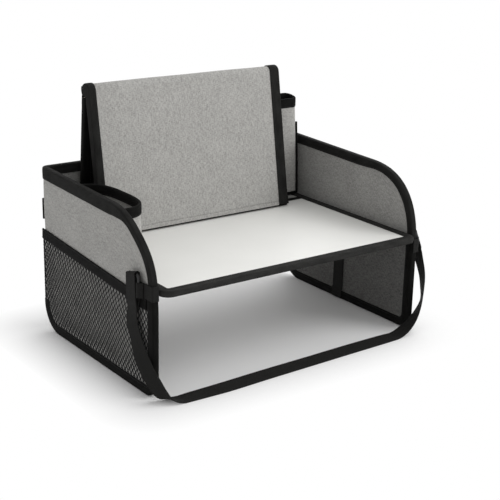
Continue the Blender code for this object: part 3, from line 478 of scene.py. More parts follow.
def neighbours(path: Sequence, index: int, closed: bool = False) -> tuple:
    """Points before and after one of a path, at an open end the point itself."""
    if closed:
        return path[index - 1], path[(index + 1) % len(path)]
    return path[max(index - 1, 0)], path[min(index + 1, len(path) - 1)]


def heading(path: Sequence[Flat], index: int) -> Vector:
    """Direction of travel at one point of a flat path."""
    before, after = neighbours(path, index)
    return Vector((after[0] - before[0], after[1] - before[1])).normalized()


def side_x(_place: Vector, _travel: Vector) -> Vector:
    """Sideways along X."""
    return Vector((1, 0, 0))


def side_z(_place: Vector, _travel: Vector) -> Vector:
    """Sideways straight up."""
    return Vector((0, 0, 1))


def side_left(_place: Vector, travel: Vector) -> Vector:
    """Sideways on the level, to the left of travel."""
    return Vector((-travel.y, travel.x, 0))


def side_right(_place: Vector, travel: Vector) -> Vector:
    """Sideways on the level, to the right of travel."""
    return Vector((travel.y, -travel.x, 0))


def rise(value: float, low: float, high: float) -> float:
    """Smooth step from 0 at low to 1 at high."""
    share = min(1.0, max(0.0, (value - low) / (high - low)))
    return share * share * (3 - 2 * share)


def ripple(place: Vector, size: float, seed: float) -> float:
    """Soft noise of about -1 to 1 with spots of a given size in millimetres."""
    return noise.noise(place / size + Vector((seed, seed * 1.7, seed * 0.3)))


@dataclass
class Shape:
    """Points, faces and flat cloth places of one closed piece, in millimetres."""

    points: list[Vector] = field(default_factory=list)
    faces: list[list[int]] = field(default_factory=list)
    flats: list[list[Flat]] = field(default_factory=list)

    def lattice(self, rows: Sequence[Sequence[Vector]], us: Sequence[float], vs: Sequence[float],
                ring_rows: bool = False, ring_columns: bool = False) -> list[list[int]]:
        """Add a grid of quads.

        Args:
            rows: points, row by row.
            us: flat place of each row, one more where the rows close to a ring.
            vs: flat place of each column, one more where the columns close.
            ring_rows: whether the last row joins the first.
            ring_columns: whether the last column joins the first.

        Returns:
            The number of each grid point.
        """
        base = len(self.points)
        height, width = len(rows), len(rows[0])
        for row in rows:
            self.points.extend(row)
        ids = [[base + i * width + j for j in range(width)] for i in range(height)]
        for i in range(height if ring_rows else height - 1):
            for j in range(width if ring_columns else width - 1):
                k, m = (i + 1) % height, (j + 1) % width
                self.faces.append([ids[i][j], ids[k][j], ids[k][m], ids[i][m]])
                self.flats.append([(us[i], vs[j]), (us[i + 1], vs[j]),
                                   (us[i + 1], vs[j + 1]), (us[i], vs[j + 1])])
        return ids

    def close(self, ring: Sequence[int], flats: Sequence[Flat]) -> None:
        """Close a ring of points with one face."""
        self.faces.append(list(ring))
        self.flats.append(list(flats))

    def slab(self, front: Sequence[Sequence[Vector]], back: Sequence[Sequence[Vector]],
             us: Sequence[float], vs: Sequence[float], ring_rows: bool = False) -> None:
        """Join two matching grids into one sheet with an edge all round."""
        top = self.lattice(front, us, vs, ring_rows)
        low = self.lattice(back, us, vs, ring_rows)
        count = len(front) if ring_rows else len(front) - 1
        for i in range(count):
            k = (i + 1) % len(front)
            for j in (0, len(vs) - 1):
                near, far = (us[i], vs[j]), (us[i + 1], vs[j])
                self.close((top[i][j], top[k][j], low[k][j], low[i][j]), (near, far, far, near))
        if ring_rows:
            return
        for i in (0, len(front) - 1):
            for j in range(len(vs) - 1):
                near, far = (us[i], vs[j]), (us[i], vs[j + 1])
                self.close((top[i][j], top[i][j + 1], low[i][j + 1], low[i][j]),
                           (near, far, far, near))

    def build(self, name: str, finish: Finish, body: Body, slot: Slot,
              *nodes: str) -> bpy.types.Object:
        """Make the piece's object at the origin, with its place in its mesh, and settle it."""
        mesh = bpy.data.meshes.new(name)
        places = [(point + TRAY_ORIGIN) * MM for point in self.points]
        mesh.from_pydata(places, [], self.faces)
        layer = mesh.uv_layers.new(name=FLAT_MAP)
        flat = [value for face in self.flats for spot in face for value in spot]
        layer.data.foreach_set("uv", flat)
        edit = bmesh.new()
        edit.from_mesh(mesh)
        bmesh.ops.recalc_face_normals(edit, faces=edit.faces)
        if edit.calc_volume(signed=True) < 0:
            bmesh.ops.reverse_faces(edit, faces=edit.faces)
        edit.to_mesh(mesh)
        edit.free()
        mesh.shade_smooth()
        mesh.set_sharp_from_angle(angle=SMOOTH_ANGLE)
        mesh.materials.append(finish.make())
        return settle(linked(name, mesh), body, slot, *nodes)


def linked(name: str, data: bpy.types.ID) -> bpy.types.Object:
    """Make an object and put it in the scene."""
    made = bpy.data.objects.new(name, data)
    bpy.context.scene.collection.objects.link(made)
    return made


def settle(piece: bpy.types.Object, body: Body, slot: Slot, *nodes: str) -> bpy.types.Object:
    """Let a piece ride on its body and stand for CAD nodes."""
    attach(piece, body.value)
    if nodes:
        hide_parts(*nodes)
    LOG.info("%s: %d faces on %s", piece.name, len(piece.data.polygons), body.value)
    return piece


def running(points: Sequence[Sequence[float]], closed: bool = False) -> list[float]:
    """Distance along a path at each of its points, and back to the start where it closes."""
    loop = list(points) + ([points[0]] if closed else [])
    made = [0.0]
    for start, end in zip(loop, loop[1:]):
        made.append(made[-1] + math.dist(start, end))
    return made


@dataclass
class Track:
    """Path of a folded tape or strap, with its outward and sideways directions."""

    points: list[Vector]
    outward: list[Vector]
    sideways: list[Vector]
    closed: bool = False

    @classmethod
    def along(cls, points: Iterable[Sequence[float]],
              sideways: Callable[[Vector, Vector], Vector], closed: bool = False) -> "Track":
        """Follow points; outward is the direction of travel crossed with sideways."""
        places = [Vector(point) for point in points]
        outs, sides = [], []
        for index, place in enumerate(places):
            before, after = neighbours(places, index, closed)
            travel = (after - before).normalized()
            side = sideways(place, travel)
            side = (side - travel * side.dot(travel)).normalized()
            sides.append(side)
            outs.append(travel.cross(side))
        return cls(places, outs, sides, closed)

    def offset(self, out: float | Sequence[float], side: float) -> list[Vector]:
        """Path that runs beside the track, at one distance or at one for each point."""
        outs = [out] * len(self.points) if isinstance(out, float) else out
        made = []
        for place, outward, sideways, reach in zip(self.points, self.outward, self.sideways, outs):
            made.append(place + outward * reach + sideways * side)
        if self.closed:
            made.append(made[0])
        return made

    def loft(self, section: Sequence[Flat] | Sequence[Outline], name: str, finish: Finish,
             body: Body, slot: Slot, *nodes: str, sway: float = 0.0,
             seed: float = 0.0) -> bpy.types.Object:
        """Carry a closed section along the track.

        Args:
            section: places outward and sideways, in millimetres, or one such list for each point.
            name: the piece's name.
            finish: its finish.
            body: the body that it rides on.
            slot: its material slot, not used.
            nodes: the CAD nodes that it stands for.
            sway: how far the section swells and shrinks along the track.
            seed: start of the sway's noise.

        Returns:
            The finished object.
        """
        shape = Shape()
        rows = []
        sections = section
        if isinstance(section[0][0], float):
            sections = [section] * len(self.points)
        section = sections[0]
        for place, outward, sideways, spots in zip(self.points, self.outward, self.sideways,
                                                   sections):
            grow = sway * ripple(place, 26.0, seed)
            row = []
            for out, side in spots:
                swell = grow * math.copysign(1.0, side) if out < 0 else 0.0
                row.append(place + outward * (out + (grow if out < -4 else 0.0))
                           + sideways * (side + 0.35 * swell))
            rows.append(row)
        us = running(self.points, self.closed)
        vs = running(section, True)
        ids = shape.lattice(rows, us, vs, self.closed, True)
        if not self.closed:
            for row, u in ((ids[0], us[0]), (ids[-1], us[-1])):
                shape.close(row, [(u + out, side) for out, side in section])
        return shape.build(name, finish, body, slot, *nodes)

    def seams(self, panel: float, width: float = TAPE_WIDTH) -> list[list[Vector]]:
        """Stitch lines on both faces of a tape folded round a panel."""
        lift = panel / 2 + REACH - STITCH_SINK
        return [self.offset(STITCH_INSET - width, side) for side in (lift, -lift)]


def fold_section(panel: float, width: float = TAPE_WIDTH, second: float | None = None) -> Outline:
    """Section of soft folded tape round an edge, with the dent of its stitch line.

    Args:
        panel: thickness of the edge that it wraps.
        width: how far the tape reaches down the first side.
        second: how far it reaches down the second side, width if left out.

    Returns:
        Places outward and sideways; the second side has positive sideways values.
    """
    inner = panel / 2 + SEAM_GAP
    outer = inner + TAPE
    shift = width - (second or width)
    face = [(-width, -inner - 0.25), (-width + 0.35, -outer + 0.15), (-width + 1.1, -outer - 0.05),
            (-width + 1.9, -outer + 0.16), (-width + 2.7, -outer - 0.06),
            (-width * 0.5, -outer - 0.16), (-width * 0.2, -outer - 0.10)]
    bend = min(outer, 2.2)
    for step in range(5):
        angle = math.radians(90 * step / 4)
        face.append((REACH - bend * 0.8 * (1 - math.sin(angle)),
                     -outer + bend * (1 - math.cos(angle))))
    mirrored = [(out + (shift if out < -width * 0.6 else 0.0), -side)
                for out, side in reversed(face)]
    hollow = [(shift - width, inner), (SEAM_GAP, inner), (SEAM_GAP, -inner), (-width, -inner)]
    crown = [(REACH + 0.12, 0.0)] if outer > bend else []
    if not crown:
        mirrored = mirrored[1:]
    return face + crown + mirrored + hollow


def round_section(radius: float, corners: int) -> Outline:
    """Section of a round bar or cord."""
    return [(radius * math.cos(angle), radius * math.sin(angle))
            for angle in np.linspace(0, 2 * math.pi, corners + 1)[:-1]]


def band_section(width: float, thickness: float) -> Outline:
    """Section of a flat band with rounded edges, its width outward and its thickness sideways."""
    half, low = width / 2, thickness / 2
    return [
        (-half, -low * 0.35), (-half + low * 0.6, -low), (-half * 0.5, -low * 1.03),
        (0.0, -low * 1.05), (half * 0.5, -low * 1.03), (half - low * 0.6, -low),
        (half, -low * 0.35), (half, low * 0.35), (half - low * 0.6, low),
        (half * 0.5, low * 1.03), (0.0, low * 1.05), (-half * 0.5, low * 1.03),
        (-half + low * 0.6, low), (-half, low * 0.35),
    ]


def edge_distance(spots: np.ndarray, outline: Outline) -> np.ndarray:
    """Distance of each flat spot from the nearest edge of an outline."""
    nearest = np.full(len(spots), 1e9)
    for start, end in zip(outline, outline[1:] + outline[:1]):
        start, run = np.array(start), np.array(end) - np.array(start)
        span = float(run @ run)
        if span < 1e-9:
            continue
        share = np.clip(((spots - start) @ run) / span, 0, 1)
        gap = spots - start - share[:, None] * run
        nearest = np.minimum(nearest, np.hypot(gap[:, 0], gap[:, 1]))
    return nearest


@dataclass
class Plate:
    """Flat sheet cut to an outline, drawn as small cells so that it can swell and ripple."""

    outline: Outline
    thickness: float
    place: Callable[[float, float, float], Vector]
    cell: float = 7.0
    swell: float = 0.0
    crease: float = 0.12
    margin: float = 22.0

    def build(self, name: str, finish: Finish, body: Body, slot: Slot,
              *nodes: str) -> bpy.types.Object:
        """Cut the outline into cells, close the sheet and settle it."""
        edit = bmesh.new()
        edit.faces.new([edit.verts.new((u, v, 0)) for u, v in self.outline])
        for axis in (0, 1):
            values = [spot[axis] for spot in self.outline]
            low, high = min(values), max(values)
            count = int((high - low) / self.cell)
            normal = Vector((1 - axis, axis, 0))
            for index in range(1, count + 1):
                level = low + (high - low) * index / (count + 1)
                bmesh.ops.bisect_plane(edit, geom=edit.verts[:] + edit.edges[:] + edit.faces[:],
                                       dist=0.0001, plane_co=normal * level, plane_no=normal)
        edit.verts.index_update()
        spots = np.array([(vert.co.x, vert.co.y) for vert in edit.verts])
        inset = edge_distance(spots, self.outline)
        shape = Shape()
        for (u, v), gap in zip(spots, inset):
            share = rise(gap, 2.0, self.margin)
            wave = ripple(Vector((u, v, 0)), 38.0, len(name))
            lift = share * (self.swell + self.crease * wave)
            shape.points.append(self.place(u, v, self.thickness + lift))
        for u, v in spots:
            shape.points.append(self.place(u, v, 0.0))
        count = len(spots)
        for face in edit.faces:
            ring = [vert.index for vert in face.verts]
            flats = [tuple(spots[index]) for index in ring]
            shape.close(ring, flats)
            shape.close([index + count for index in reversed(ring)], flats[::-1])
        for edge in edit.edges:
            if len(edge.link_faces) == 1:
                a, b = (vert.index for vert in edge.verts)
                shape.close([a, b, b + count, a + count], [tuple(spots[i]) for i in (a, b, b, a)])
        edit.free()
        return shape.build(name, finish, body, slot, *nodes)


# ---- Repeats made by geometry nodes

class Weave(Nodes):
    """Geometry node tree that is built in code, applied to lines and then removed."""

    def __init__(self, name: str) -> None:
        """Make an empty tree with its geometry in and out."""
        super().__init__(bpy.data.node_groups.new(name, "GeometryNodeTree"))
        self.sockets: dict[str, str] = {}
        face = self.tree.interface
        face.new_socket("Geometry", in_out="INPUT", socket_type="NodeSocketGeometry")
        face.new_socket("Geometry", in_out="OUTPUT", socket_type="NodeSocketGeometry")
        self.source = self.tree.nodes.new("NodeGroupInput")
        self.sink = self.tree.nodes.new("NodeGroupOutput")

    def size(self, name: str) -> Signal:
        """Add a named number to the tree's inputs."""
        item = self.tree.interface.new_socket(name, in_out="INPUT", socket_type="NodeSocketFloat")
        self.sockets[name] = item.identifier
        return Signal(self, self.source.outputs[name])

    def curve(self) -> Signal:
        """Turn the lines that come in into a curve."""
        lines = Signal(self, self.source.outputs[0])
        return self.add("GeometryNodeMeshToCurve", values={"Mesh": lines})

    def finish(self, geometry: Signal, finish: Finish) -> None:
        """End the tree in real geometry with its material."""
        real = self.add("GeometryNodeRealizeInstances", values={"Geometry": geometry})
        dressed = self.add("GeometryNodeSetMaterial", values={
            "Geometry": real, "Material": finish.make()})
        self.tree.links.new(dressed.socket, self.sink.inputs[0])

    def apply(self, name: str, lines: Sequence[Sequence[Vector]],
              sizes: dict[str, float]) -> bpy.types.Object:
        """Run the tree on lines of points and keep the result as a plain mesh.

        Args:
            name: the finished piece's name.
            lines: paths in millimetres.
            sizes: the tree's named inputs, in metres.

        Returns:
            The finished object.
        """
        points, edges = [], []
        for line in lines:
            first = len(points)
            points += [(Vector(point) + TRAY_ORIGIN) * MM for point in line]
            edges += [(index, index + 1) for index in range(first, len(points) - 1)]
        guide_mesh = bpy.data.meshes.new(name + "_guide")
        guide_mesh.from_pydata(points, edges, [])
        guide = linked(name + "_guide", guide_mesh)
        modifier = guide.modifiers.new("Repeat", "NODES")
        modifier.node_group = self.tree
        for key, value in sizes.items():
            modifier[self.sockets[key]] = value
        graph = bpy.context.evaluated_depsgraph_get()
        mesh = bpy.data.meshes.new_from_object(guide.evaluated_get(graph))
        mesh.name = name
        guide.modifiers.remove(modifier)
        bpy.data.objects.remove(guide, do_unlink=True)
        bpy.data.meshes.remove(guide_mesh)
        mesh.shade_smooth()
        return linked(name, mesh)

    def remove(self) -> None:
        """Remove the tree once its pieces are plain meshes."""
        bpy.data.node_groups.remove(self.tree)


def stitch_weave(finish: Finish) -> Weave:
    """Tree that lays one rounded stitch after another along each line."""
    weave = Weave("stitches_" + finish.name)
    pitch, length, radius = (weave.size(name) for name in ("Pitch", "Length", "Radius"))
    steps = weave.add("GeometryNodeResampleCurve", {"mode": "LENGTH"},
                      {"Curve": weave.curve(), "Length": pitch})
    ball = weave.add("GeometryNodeMeshUVSphere",
                     values={"Segments": 6, "Rings": 4, "Radius": 1.0})
    scale = weave.add("ShaderNodeCombineXYZ", values={0: radius, 1: radius, 2: length * 0.5})
    turn = weave.add("FunctionNodeAlignRotationToVector", {"axis": "Z"},
                     {"Vector": weave.add("GeometryNodeInputTangent")})
    laid = weave.add("GeometryNodeInstanceOnPoints", values={
        "Points": steps, "Instance": ball, "Rotation": turn, "Scale": scale})
    weave.finish(laid, finish)
    return weave


def yarn_weave(finish: Finish) -> Weave:
    """Tree that gives each line the thickness of a yarn."""
    weave = Weave("yarns_" + finish.name)
    profile = weave.add("GeometryNodeCurvePrimitiveCircle", {"mode": "RADIUS"},
                        {"Radius": weave.size("Radius"), "Resolution": 4})
    tube = weave.add("GeometryNodeCurveToMesh", values={
        "Curve": weave.curve(), "Profile Curve": profile, "Fill Caps": True})
    weave.finish(tube, finish)
    return weave


@dataclass
class Seams:
    """Stitch lines gathered while the pieces are built, sewn in one go for each body."""

    dark: dict[Body, list] = field(default_factory=dict)
    pale: dict[Body, list] = field(default_factory=dict)
    pitch: float = 3.3
    length: float = 2.7
    radius: float = 0.27

    def sew(self, body: Body, *lines: Sequence[Vector], pale: bool = False) -> None:
        """Remember stitch lines."""
        (self.pale if pale else self.dark).setdefault(body, []).extend(lines)

    def build(self) -> None:
        """Lay the stitches of every body."""
        for finish, lines_by_body, slot in ((SEWING, self.dark, Slot.TAPE),
                                            (PALE_SEWING, self.pale, Slot.CLOTH)):
            weave = stitch_weave(finish)
            for body, lines in lines_by_body.items():
                word = "pale_stitches" if finish is PALE_SEWING else "stitches"
                piece = weave.apply(f"{body.value}_{word}", lines, {
                    "Pitch": self.pitch * MM, "Length": self.length * MM,
                    "Radius": self.radius * MM})
                settle(piece, body, slot)
            weave.remove()


# ---- Outlines shared by the pieces

def wing_curve(inset: float, low: float, steps: int = 36) -> Outline:
    """Points (Y, Z) up the curved front of a wing."""
    across, upward = CURVE_DEPTH - inset, CURVE_DROP - inset
    start = math.asin(max(0.0, min(1.0, (low - CURVE_CENTRE[1]) / upward)))
    points = []
    for step in range(steps + 1):
        angle = start + (math.pi / 2 - start) * step / steps
        points.append((CURVE_CENTRE[0] - across * math.cos(angle),
                       CURVE_CENTRE[1] + upward * math.sin(angle)))
    return points


def wing_top(along: float, inset: float) -> float:
    """Height of the wings' edge at a place along them."""
    if along < CURVE_CENTRE[0]:
        share = min(1.0, (CURVE_CENTRE[0] - along) / (CURVE_DEPTH - inset))
        return CURVE_CENTRE[1] + (CURVE_DROP - inset) * math.sqrt(1 - share * share)
    share = (along - CURVE_CENTRE[0]) / (BACK_Y - CORNER_RADIUS - CURVE_CENTRE[0])
    return RIM_FRONT + (RIM_REAR - RIM_FRONT) * min(1.0, share) - inset


def bowed(place: Vector) -> Vector:
    """Push a place near the wings' curved front outward, further on the right wing."""
    ahead = (CURVE_CENTRE[0] - place.y) / CURVE_DEPTH
    upward = (place.z - CURVE_CENTRE[1]) / CURVE_DROP
    if ahead <= 0 or upward <= 0:
        return place
    angle = math.atan2(upward, ahead)
    if place.x > 0:
        push = BOW_RIGHT * math.sin(2 * angle) ** 2
    else:
        push = BOW_LEFT * math.sin(min(math.pi, angle * math.pi / BOW_LEFT_END)) ** 2
    push *= (rise(math.hypot(ahead, upward), 0.5, 0.95)
             * rise(place.z, WING_BOTTOM, WING_BOTTOM + 14))
    return place + Vector((0, -math.cos(angle), math.sin(angle))) * push


def leg_outline(inset: float, top: float, rear_inset: float | None = None) -> Outline:
    """Outline (Y, Z) of a leg: front edge, rounded lower corners and a straight rear edge."""
    rear = BACK_Y - (inset if rear_inset is None else rear_inset)
    front = FRONT_Y + inset
    front_radius, rear_radius = LEG_FRONT_RADIUS - inset, LEG_REAR_RADIUS - inset
    upward = CURVE_DROP - inset
    start = math.asin((top - CURVE_CENTRE[1]) / upward)
    points = []
    for step in range(7):
        angle = start * (1 - step / 6)
        points.append((CURVE_CENTRE[0] - (CURVE_DEPTH - inset) * math.cos(angle),
                       CURVE_CENTRE[1] + upward * math.sin(angle)))
    points += arc((front + front_radius, inset + front_radius), front_radius, 180, 270, 12)
    points += arc((rear - rear_radius, inset + rear_radius), rear_radius, 270, 360, 18)
    points.append((rear, top))
    return points


def table_edge(inset: float) -> Outline:
    """Plan path (X, Y) along the left side, the front and the right side of the table."""
    side = POCKET_X - inset
    front = TABLE_FRONT + inset
    rear = BACK_INNER_Y - REACH - SEAM_GAP
    radius = TABLE_CORNER - inset
    return [(-side, rear), *arc((-side + radius, front + radius), radius, 180, 270, 12),
            *arc((side - radius, front + radius), radius, 270, 360, 12), (side, rear)]


# ---- Sub-assemblies

@dataclass
class RaisedWalls:
    """Left wing, back wall and right wing, with one length of tape along their rim."""

    seams: Seams
    rows: int = 26
    bulge: float = 0.55
    slack: float = 0.30
    narrowing: tuple[float, float] = (2.3, 1.0)
    widening: float = 3.2
    front_narrowing: float = 3.6
    tab_size: tuple[float, float] = (15.0, 27.0)
    tab_height: float = 160.0

    def plan(self, outset: float) -> list[tuple[float, float, float, float]]:
        """Plan path round the walls: X, Y and the outward direction at each point."""
        radius = CORNER_RADIUS - outset
        side, back = HALF_WIDTH - outset, BACK_Y - outset
        right = []
        for along, _ in wing_curve(REACH, WING_BOTTOM)[:-1]:
            right.append((side, along, 1.0, 0.0))
        for along in np.linspace(CURVE_CENTRE[0], BACK_Y - CORNER_RADIUS, 26):
            right.append((side, float(along), 1.0, 0.0))
        for angle in np.linspace(0, math.pi / 2, 9)[1:]:
            out = (math.cos(angle), math.sin(angle))
            right.append((side - radius + radius * out[0], back - radius + radius * out[1], *out))
        path = [(-x, y, -a, b) for x, y, a, b in right]
        half = HALF_WIDTH - CORNER_RADIUS
        for across in np.linspace(-half, half, 56)[1:-1]:
            path.append((float(across), back, 0.0, 1.0))
        return path + right[::-1]

    def skin(self, name: str, node: str, outset: float, facing: float, finish: Finish,
             slot: Slot) -> None:
        """Build one cloth layer, which swells a little towards the side that it faces."""
        outer, inner = self.plan(outset), self.plan(outset + CLOTH)
        shown, hidden = (outer, inner) if facing > 0 else (inner, outer)
        front, back = [], []
        for (x, y, a, b), (p, q, _, _) in zip(shown, hidden):
            top = wing_top(min(y, BACK_Y - CORNER_RADIUS), REACH)
            top = max(top, WING_BOTTOM + 1.0)
            face, rear = [], []
            for step in range(self.rows + 1):
                share = step / self.rows
                z = WING_BOTTOM + (top - WING_BOTTOM) * share
                spot = Vector((x, y, z))
                mask = rise(z, 138.0, 158.0) * rise(top - z, 8.0, 26.0) * rise(y, FRONT_Y, -105.0)
                swell = mask * (self.bulge + self.slack * ripple(spot, 34.0, outset + 3.0))
                swell *= 1.0 if facing > 0 else 0.45
                face.append(bowed(spot + Vector((a, b, 0)) * swell * facing))
                rear.append(bowed(Vector((p, q, z))))
            front.append(face)
            back.append(rear)
        us = running([(x, y) for x, y, _, _ in outer])
        heights = [WING_BOTTOM + (RIM_REAR - WING_BOTTOM) * step / self.rows
                   for step in range(self.rows + 1)]
        shape = Shape()
        shape.slab(front, back, us, heights)
        shape.build(name, finish, Body.TRAY, slot, node)

    def tape_reach(self, place: Vector) -> tuple[float, float]:
        """How far the rim tape reaches down the inner and the outer face at a place."""
        if place.x > 0:
            narrow = rise(-place.y, 20.0, 70.0)
            inner, outer = self.narrowing
            return TAPE_WIDTH - inner * narrow, TAPE_WIDTH - outer * narrow
        wide = rise(-place.x, 150.0, 190.0) * self.widening * rise(place.y, -75.0, -35.0)
        narrow = self.front_narrowing * rise(-place.y, 55.0, 85.0)
        return TAPE_WIDTH, TAPE_WIDTH + wide - narrow

    def rim(self) -> None:
        """Fold one length of tape over the edge of the wings and the back wall."""
        edge = wing_curve(REACH, WING_BOTTOM + SEAM_GAP)
        edge += spaced([edge[-1], (BACK_Y - CORNER_RADIUS, RIM_REAR - REACH)], PATH_STEP)[1:]
        left = [(-WING_MIDDLE_X, y, z) for y, z in edge]
        radius = CORNER_RADIUS - PANEL / 2
        centre = (-WING_MIDDLE_X + radius, BACK_Y - CORNER_RADIUS)
        corner = [(x, y, RIM_REAR - REACH) for x, y in arc(centre, radius, 180, 90, 7)[1:]]
        half = left + corner
        mirrored = [(-x, y, z) for x, y, z in reversed(half)]
        path = spaced(half + mirrored, PATH_STEP)

        def outside(place: Vector, travel: Vector) -> Vector:
            """Sideways away from the tray."""
            if abs(place.x) > WING_MIDDLE_X - 0.01:
                return Vector((math.copysign(1.0, place.x), 0, 0))
            return Vector((-travel.y, travel.x, 0))

        track = Track.along([bowed(Vector(place)) for place in path], outside)
        first, last = track.outward[0], track.outward[-1]
        first.xyz = last.xyz = (0.0, -1.0, 0.0)
        reaches = [self.tape_reach(place) for place in track.points]
        sections = [fold_section(PANEL, *reach) for reach in reaches]
        # Rim tape in the lighter grosgrain: painted sheen on tape that faces up.
        track.loft(sections, "rim_binding", SHEEN_EDGING,
                   Body.TRAY, Slot.TAPE, "rim_tape", sway=0.18, seed=2.0)
        lift = PANEL / 2 + REACH - STITCH_SINK
        inner, outer = zip(*reaches)
        lines = (track.offset([STITCH_INSET - reach for reach in outer], lift),
                 track.offset([STITCH_INSET - reach for reach in inner], -lift))
        self.seams.sew(Body.TRAY, *([place for place in line if place.z > WING_BOTTOM + 2.5]
                                    for line in lines))

    def welt(self) -> None:
        """Close the walls' lower edge with a thin strip of cloth."""
        low = WING_BOTTOM - 0.28
        for side in Side:
            near, far = side.panel
            outline = rectangle(near, far, FRONT_Y + 2.5, BACK_Y - 8.0)
            strip = Plate(outline, 0.26, lambda u, v, h: Vector((u, v, low + h)), crease=0.0)
            strip.build(f"{side.label}_wing_welt", INK, Body.TRAY, Slot.BLACK_CLOTH)

    def pull_tab(self) -> None:
        """Small folded loop of webbing on the left end of the back wall."""
        near, depth, left = BACK_Y + 0.2, 3.4, -198.6
        length, width = self.tab_size
        turn = depth / 2 - 0.6
        path = [(left + length, near + 0.6),
                *arc((left + 1.8, near + depth / 2), turn, 270, 90, 8),
                (left + length * 0.6, near + depth * 0.72), (left + length, near + 1.9)]
        points = [(x, y, self.tab_height) for x, y in spaced(path, 1.5)]
        track = Track.along(points, side_right)
        track.loft(band_section(width, 1.1), "pull_tab_webbing", WEBBING,
                   Body.TRAY, Slot.WEBBING, "pull_tab")

    def build(self) -> None:
        """Build and dress the walls."""
        self.skin("wall_outer_cloth", "upper_outer_cloth", 0.0, 1.0, GREY, Slot.CLOTH)
        self.skin("wall_inner_cloth", "upper_inner_cloth", PANEL - CLOTH, -1.0, DARK,
                  Slot.DARK_CLOTH)
        self.rim()
        self.welt()
        self.pull_tab()


@dataclass
class TableTop:
    """Stiff table with its white sheet, deck cloth, under cloth and edge tape."""

    seams: Seams
    sheet_rear: float = 81.0
    cross_width: float = 8.0

    def build(self) -> None:
        """Build and dress the table."""
        top, cloth = TABLE_HEIGHT, 0.8
        edge = table_edge(REACH)
        front = [(x, min(y, self.sheet_rear)) for x, y in edge]
        sheet = Plate(front, cloth, lambda u, v, h: Vector((u, v, top - cloth + h)), 12.0,
                      crease=0.05)
        sheet.build("white_film", FILM, Body.TRAY, Slot.SHEET, "writing_sheet")
        side, rear = edge[-1]
        low = self.sheet_rear + SEAM_GAP
        deck = Plate(rectangle(-side, side, low, rear), cloth,
                     lambda u, v, h: Vector((u, v, top - cloth + h)), crease=0.06, margin=12.0)
        deck.build("deck_panel_cloth", GREY, Body.TRAY, Slot.CLOTH, "deck_cloth")
        under = Plate(edge, cloth, lambda u, v, h: Vector((u, v, top - TABLE_PANEL + cloth - h)),
                      10.0, swell=0.25)
        under.build("table_lower_cloth", DARK, Body.TRAY, Slot.DARK_CLOTH,
               "table_under_cloth")
        half = side - TAPE_WIDTH - SEAM_GAP
        middle = self.sheet_rear + self.cross_width / 2
        points = spaced([(-half, middle, top + SEAM_GAP + TAPE / 2),
                         (half, middle, top + SEAM_GAP + TAPE / 2)], 8.0)
        cross = Track.along(points, side_z)
        cross.loft(band_section(self.cross_width, TAPE), "cross_binding", BINDING,
                   Body.TRAY, Slot.TAPE, "cross_tape")
        for shift in (-2.6, 2.6):
            self.seams.sew(Body.TRAY, cross.offset(shift, TAPE / 2))
        middle = top - TABLE_PANEL / 2
        track = Track.along([(x, y, middle) for x, y in spaced(edge, PATH_STEP)],
                            side_z)
        # Table edge tape in the lightest grosgrain: painted sheen on its upward curve.
        track.loft(fold_section(TABLE_PANEL), "table_binding", TABLE_SHEEN_EDGING,
                   Body.TRAY, Slot.TAPE, "table_edge_tape", sway=0.15, seed=5.0)
        upper, lower = track.seams(TABLE_PANEL)
        self.seams.sew(Body.TRAY, upper, [place for place in lower if place.y < FRONT_Y + 1])


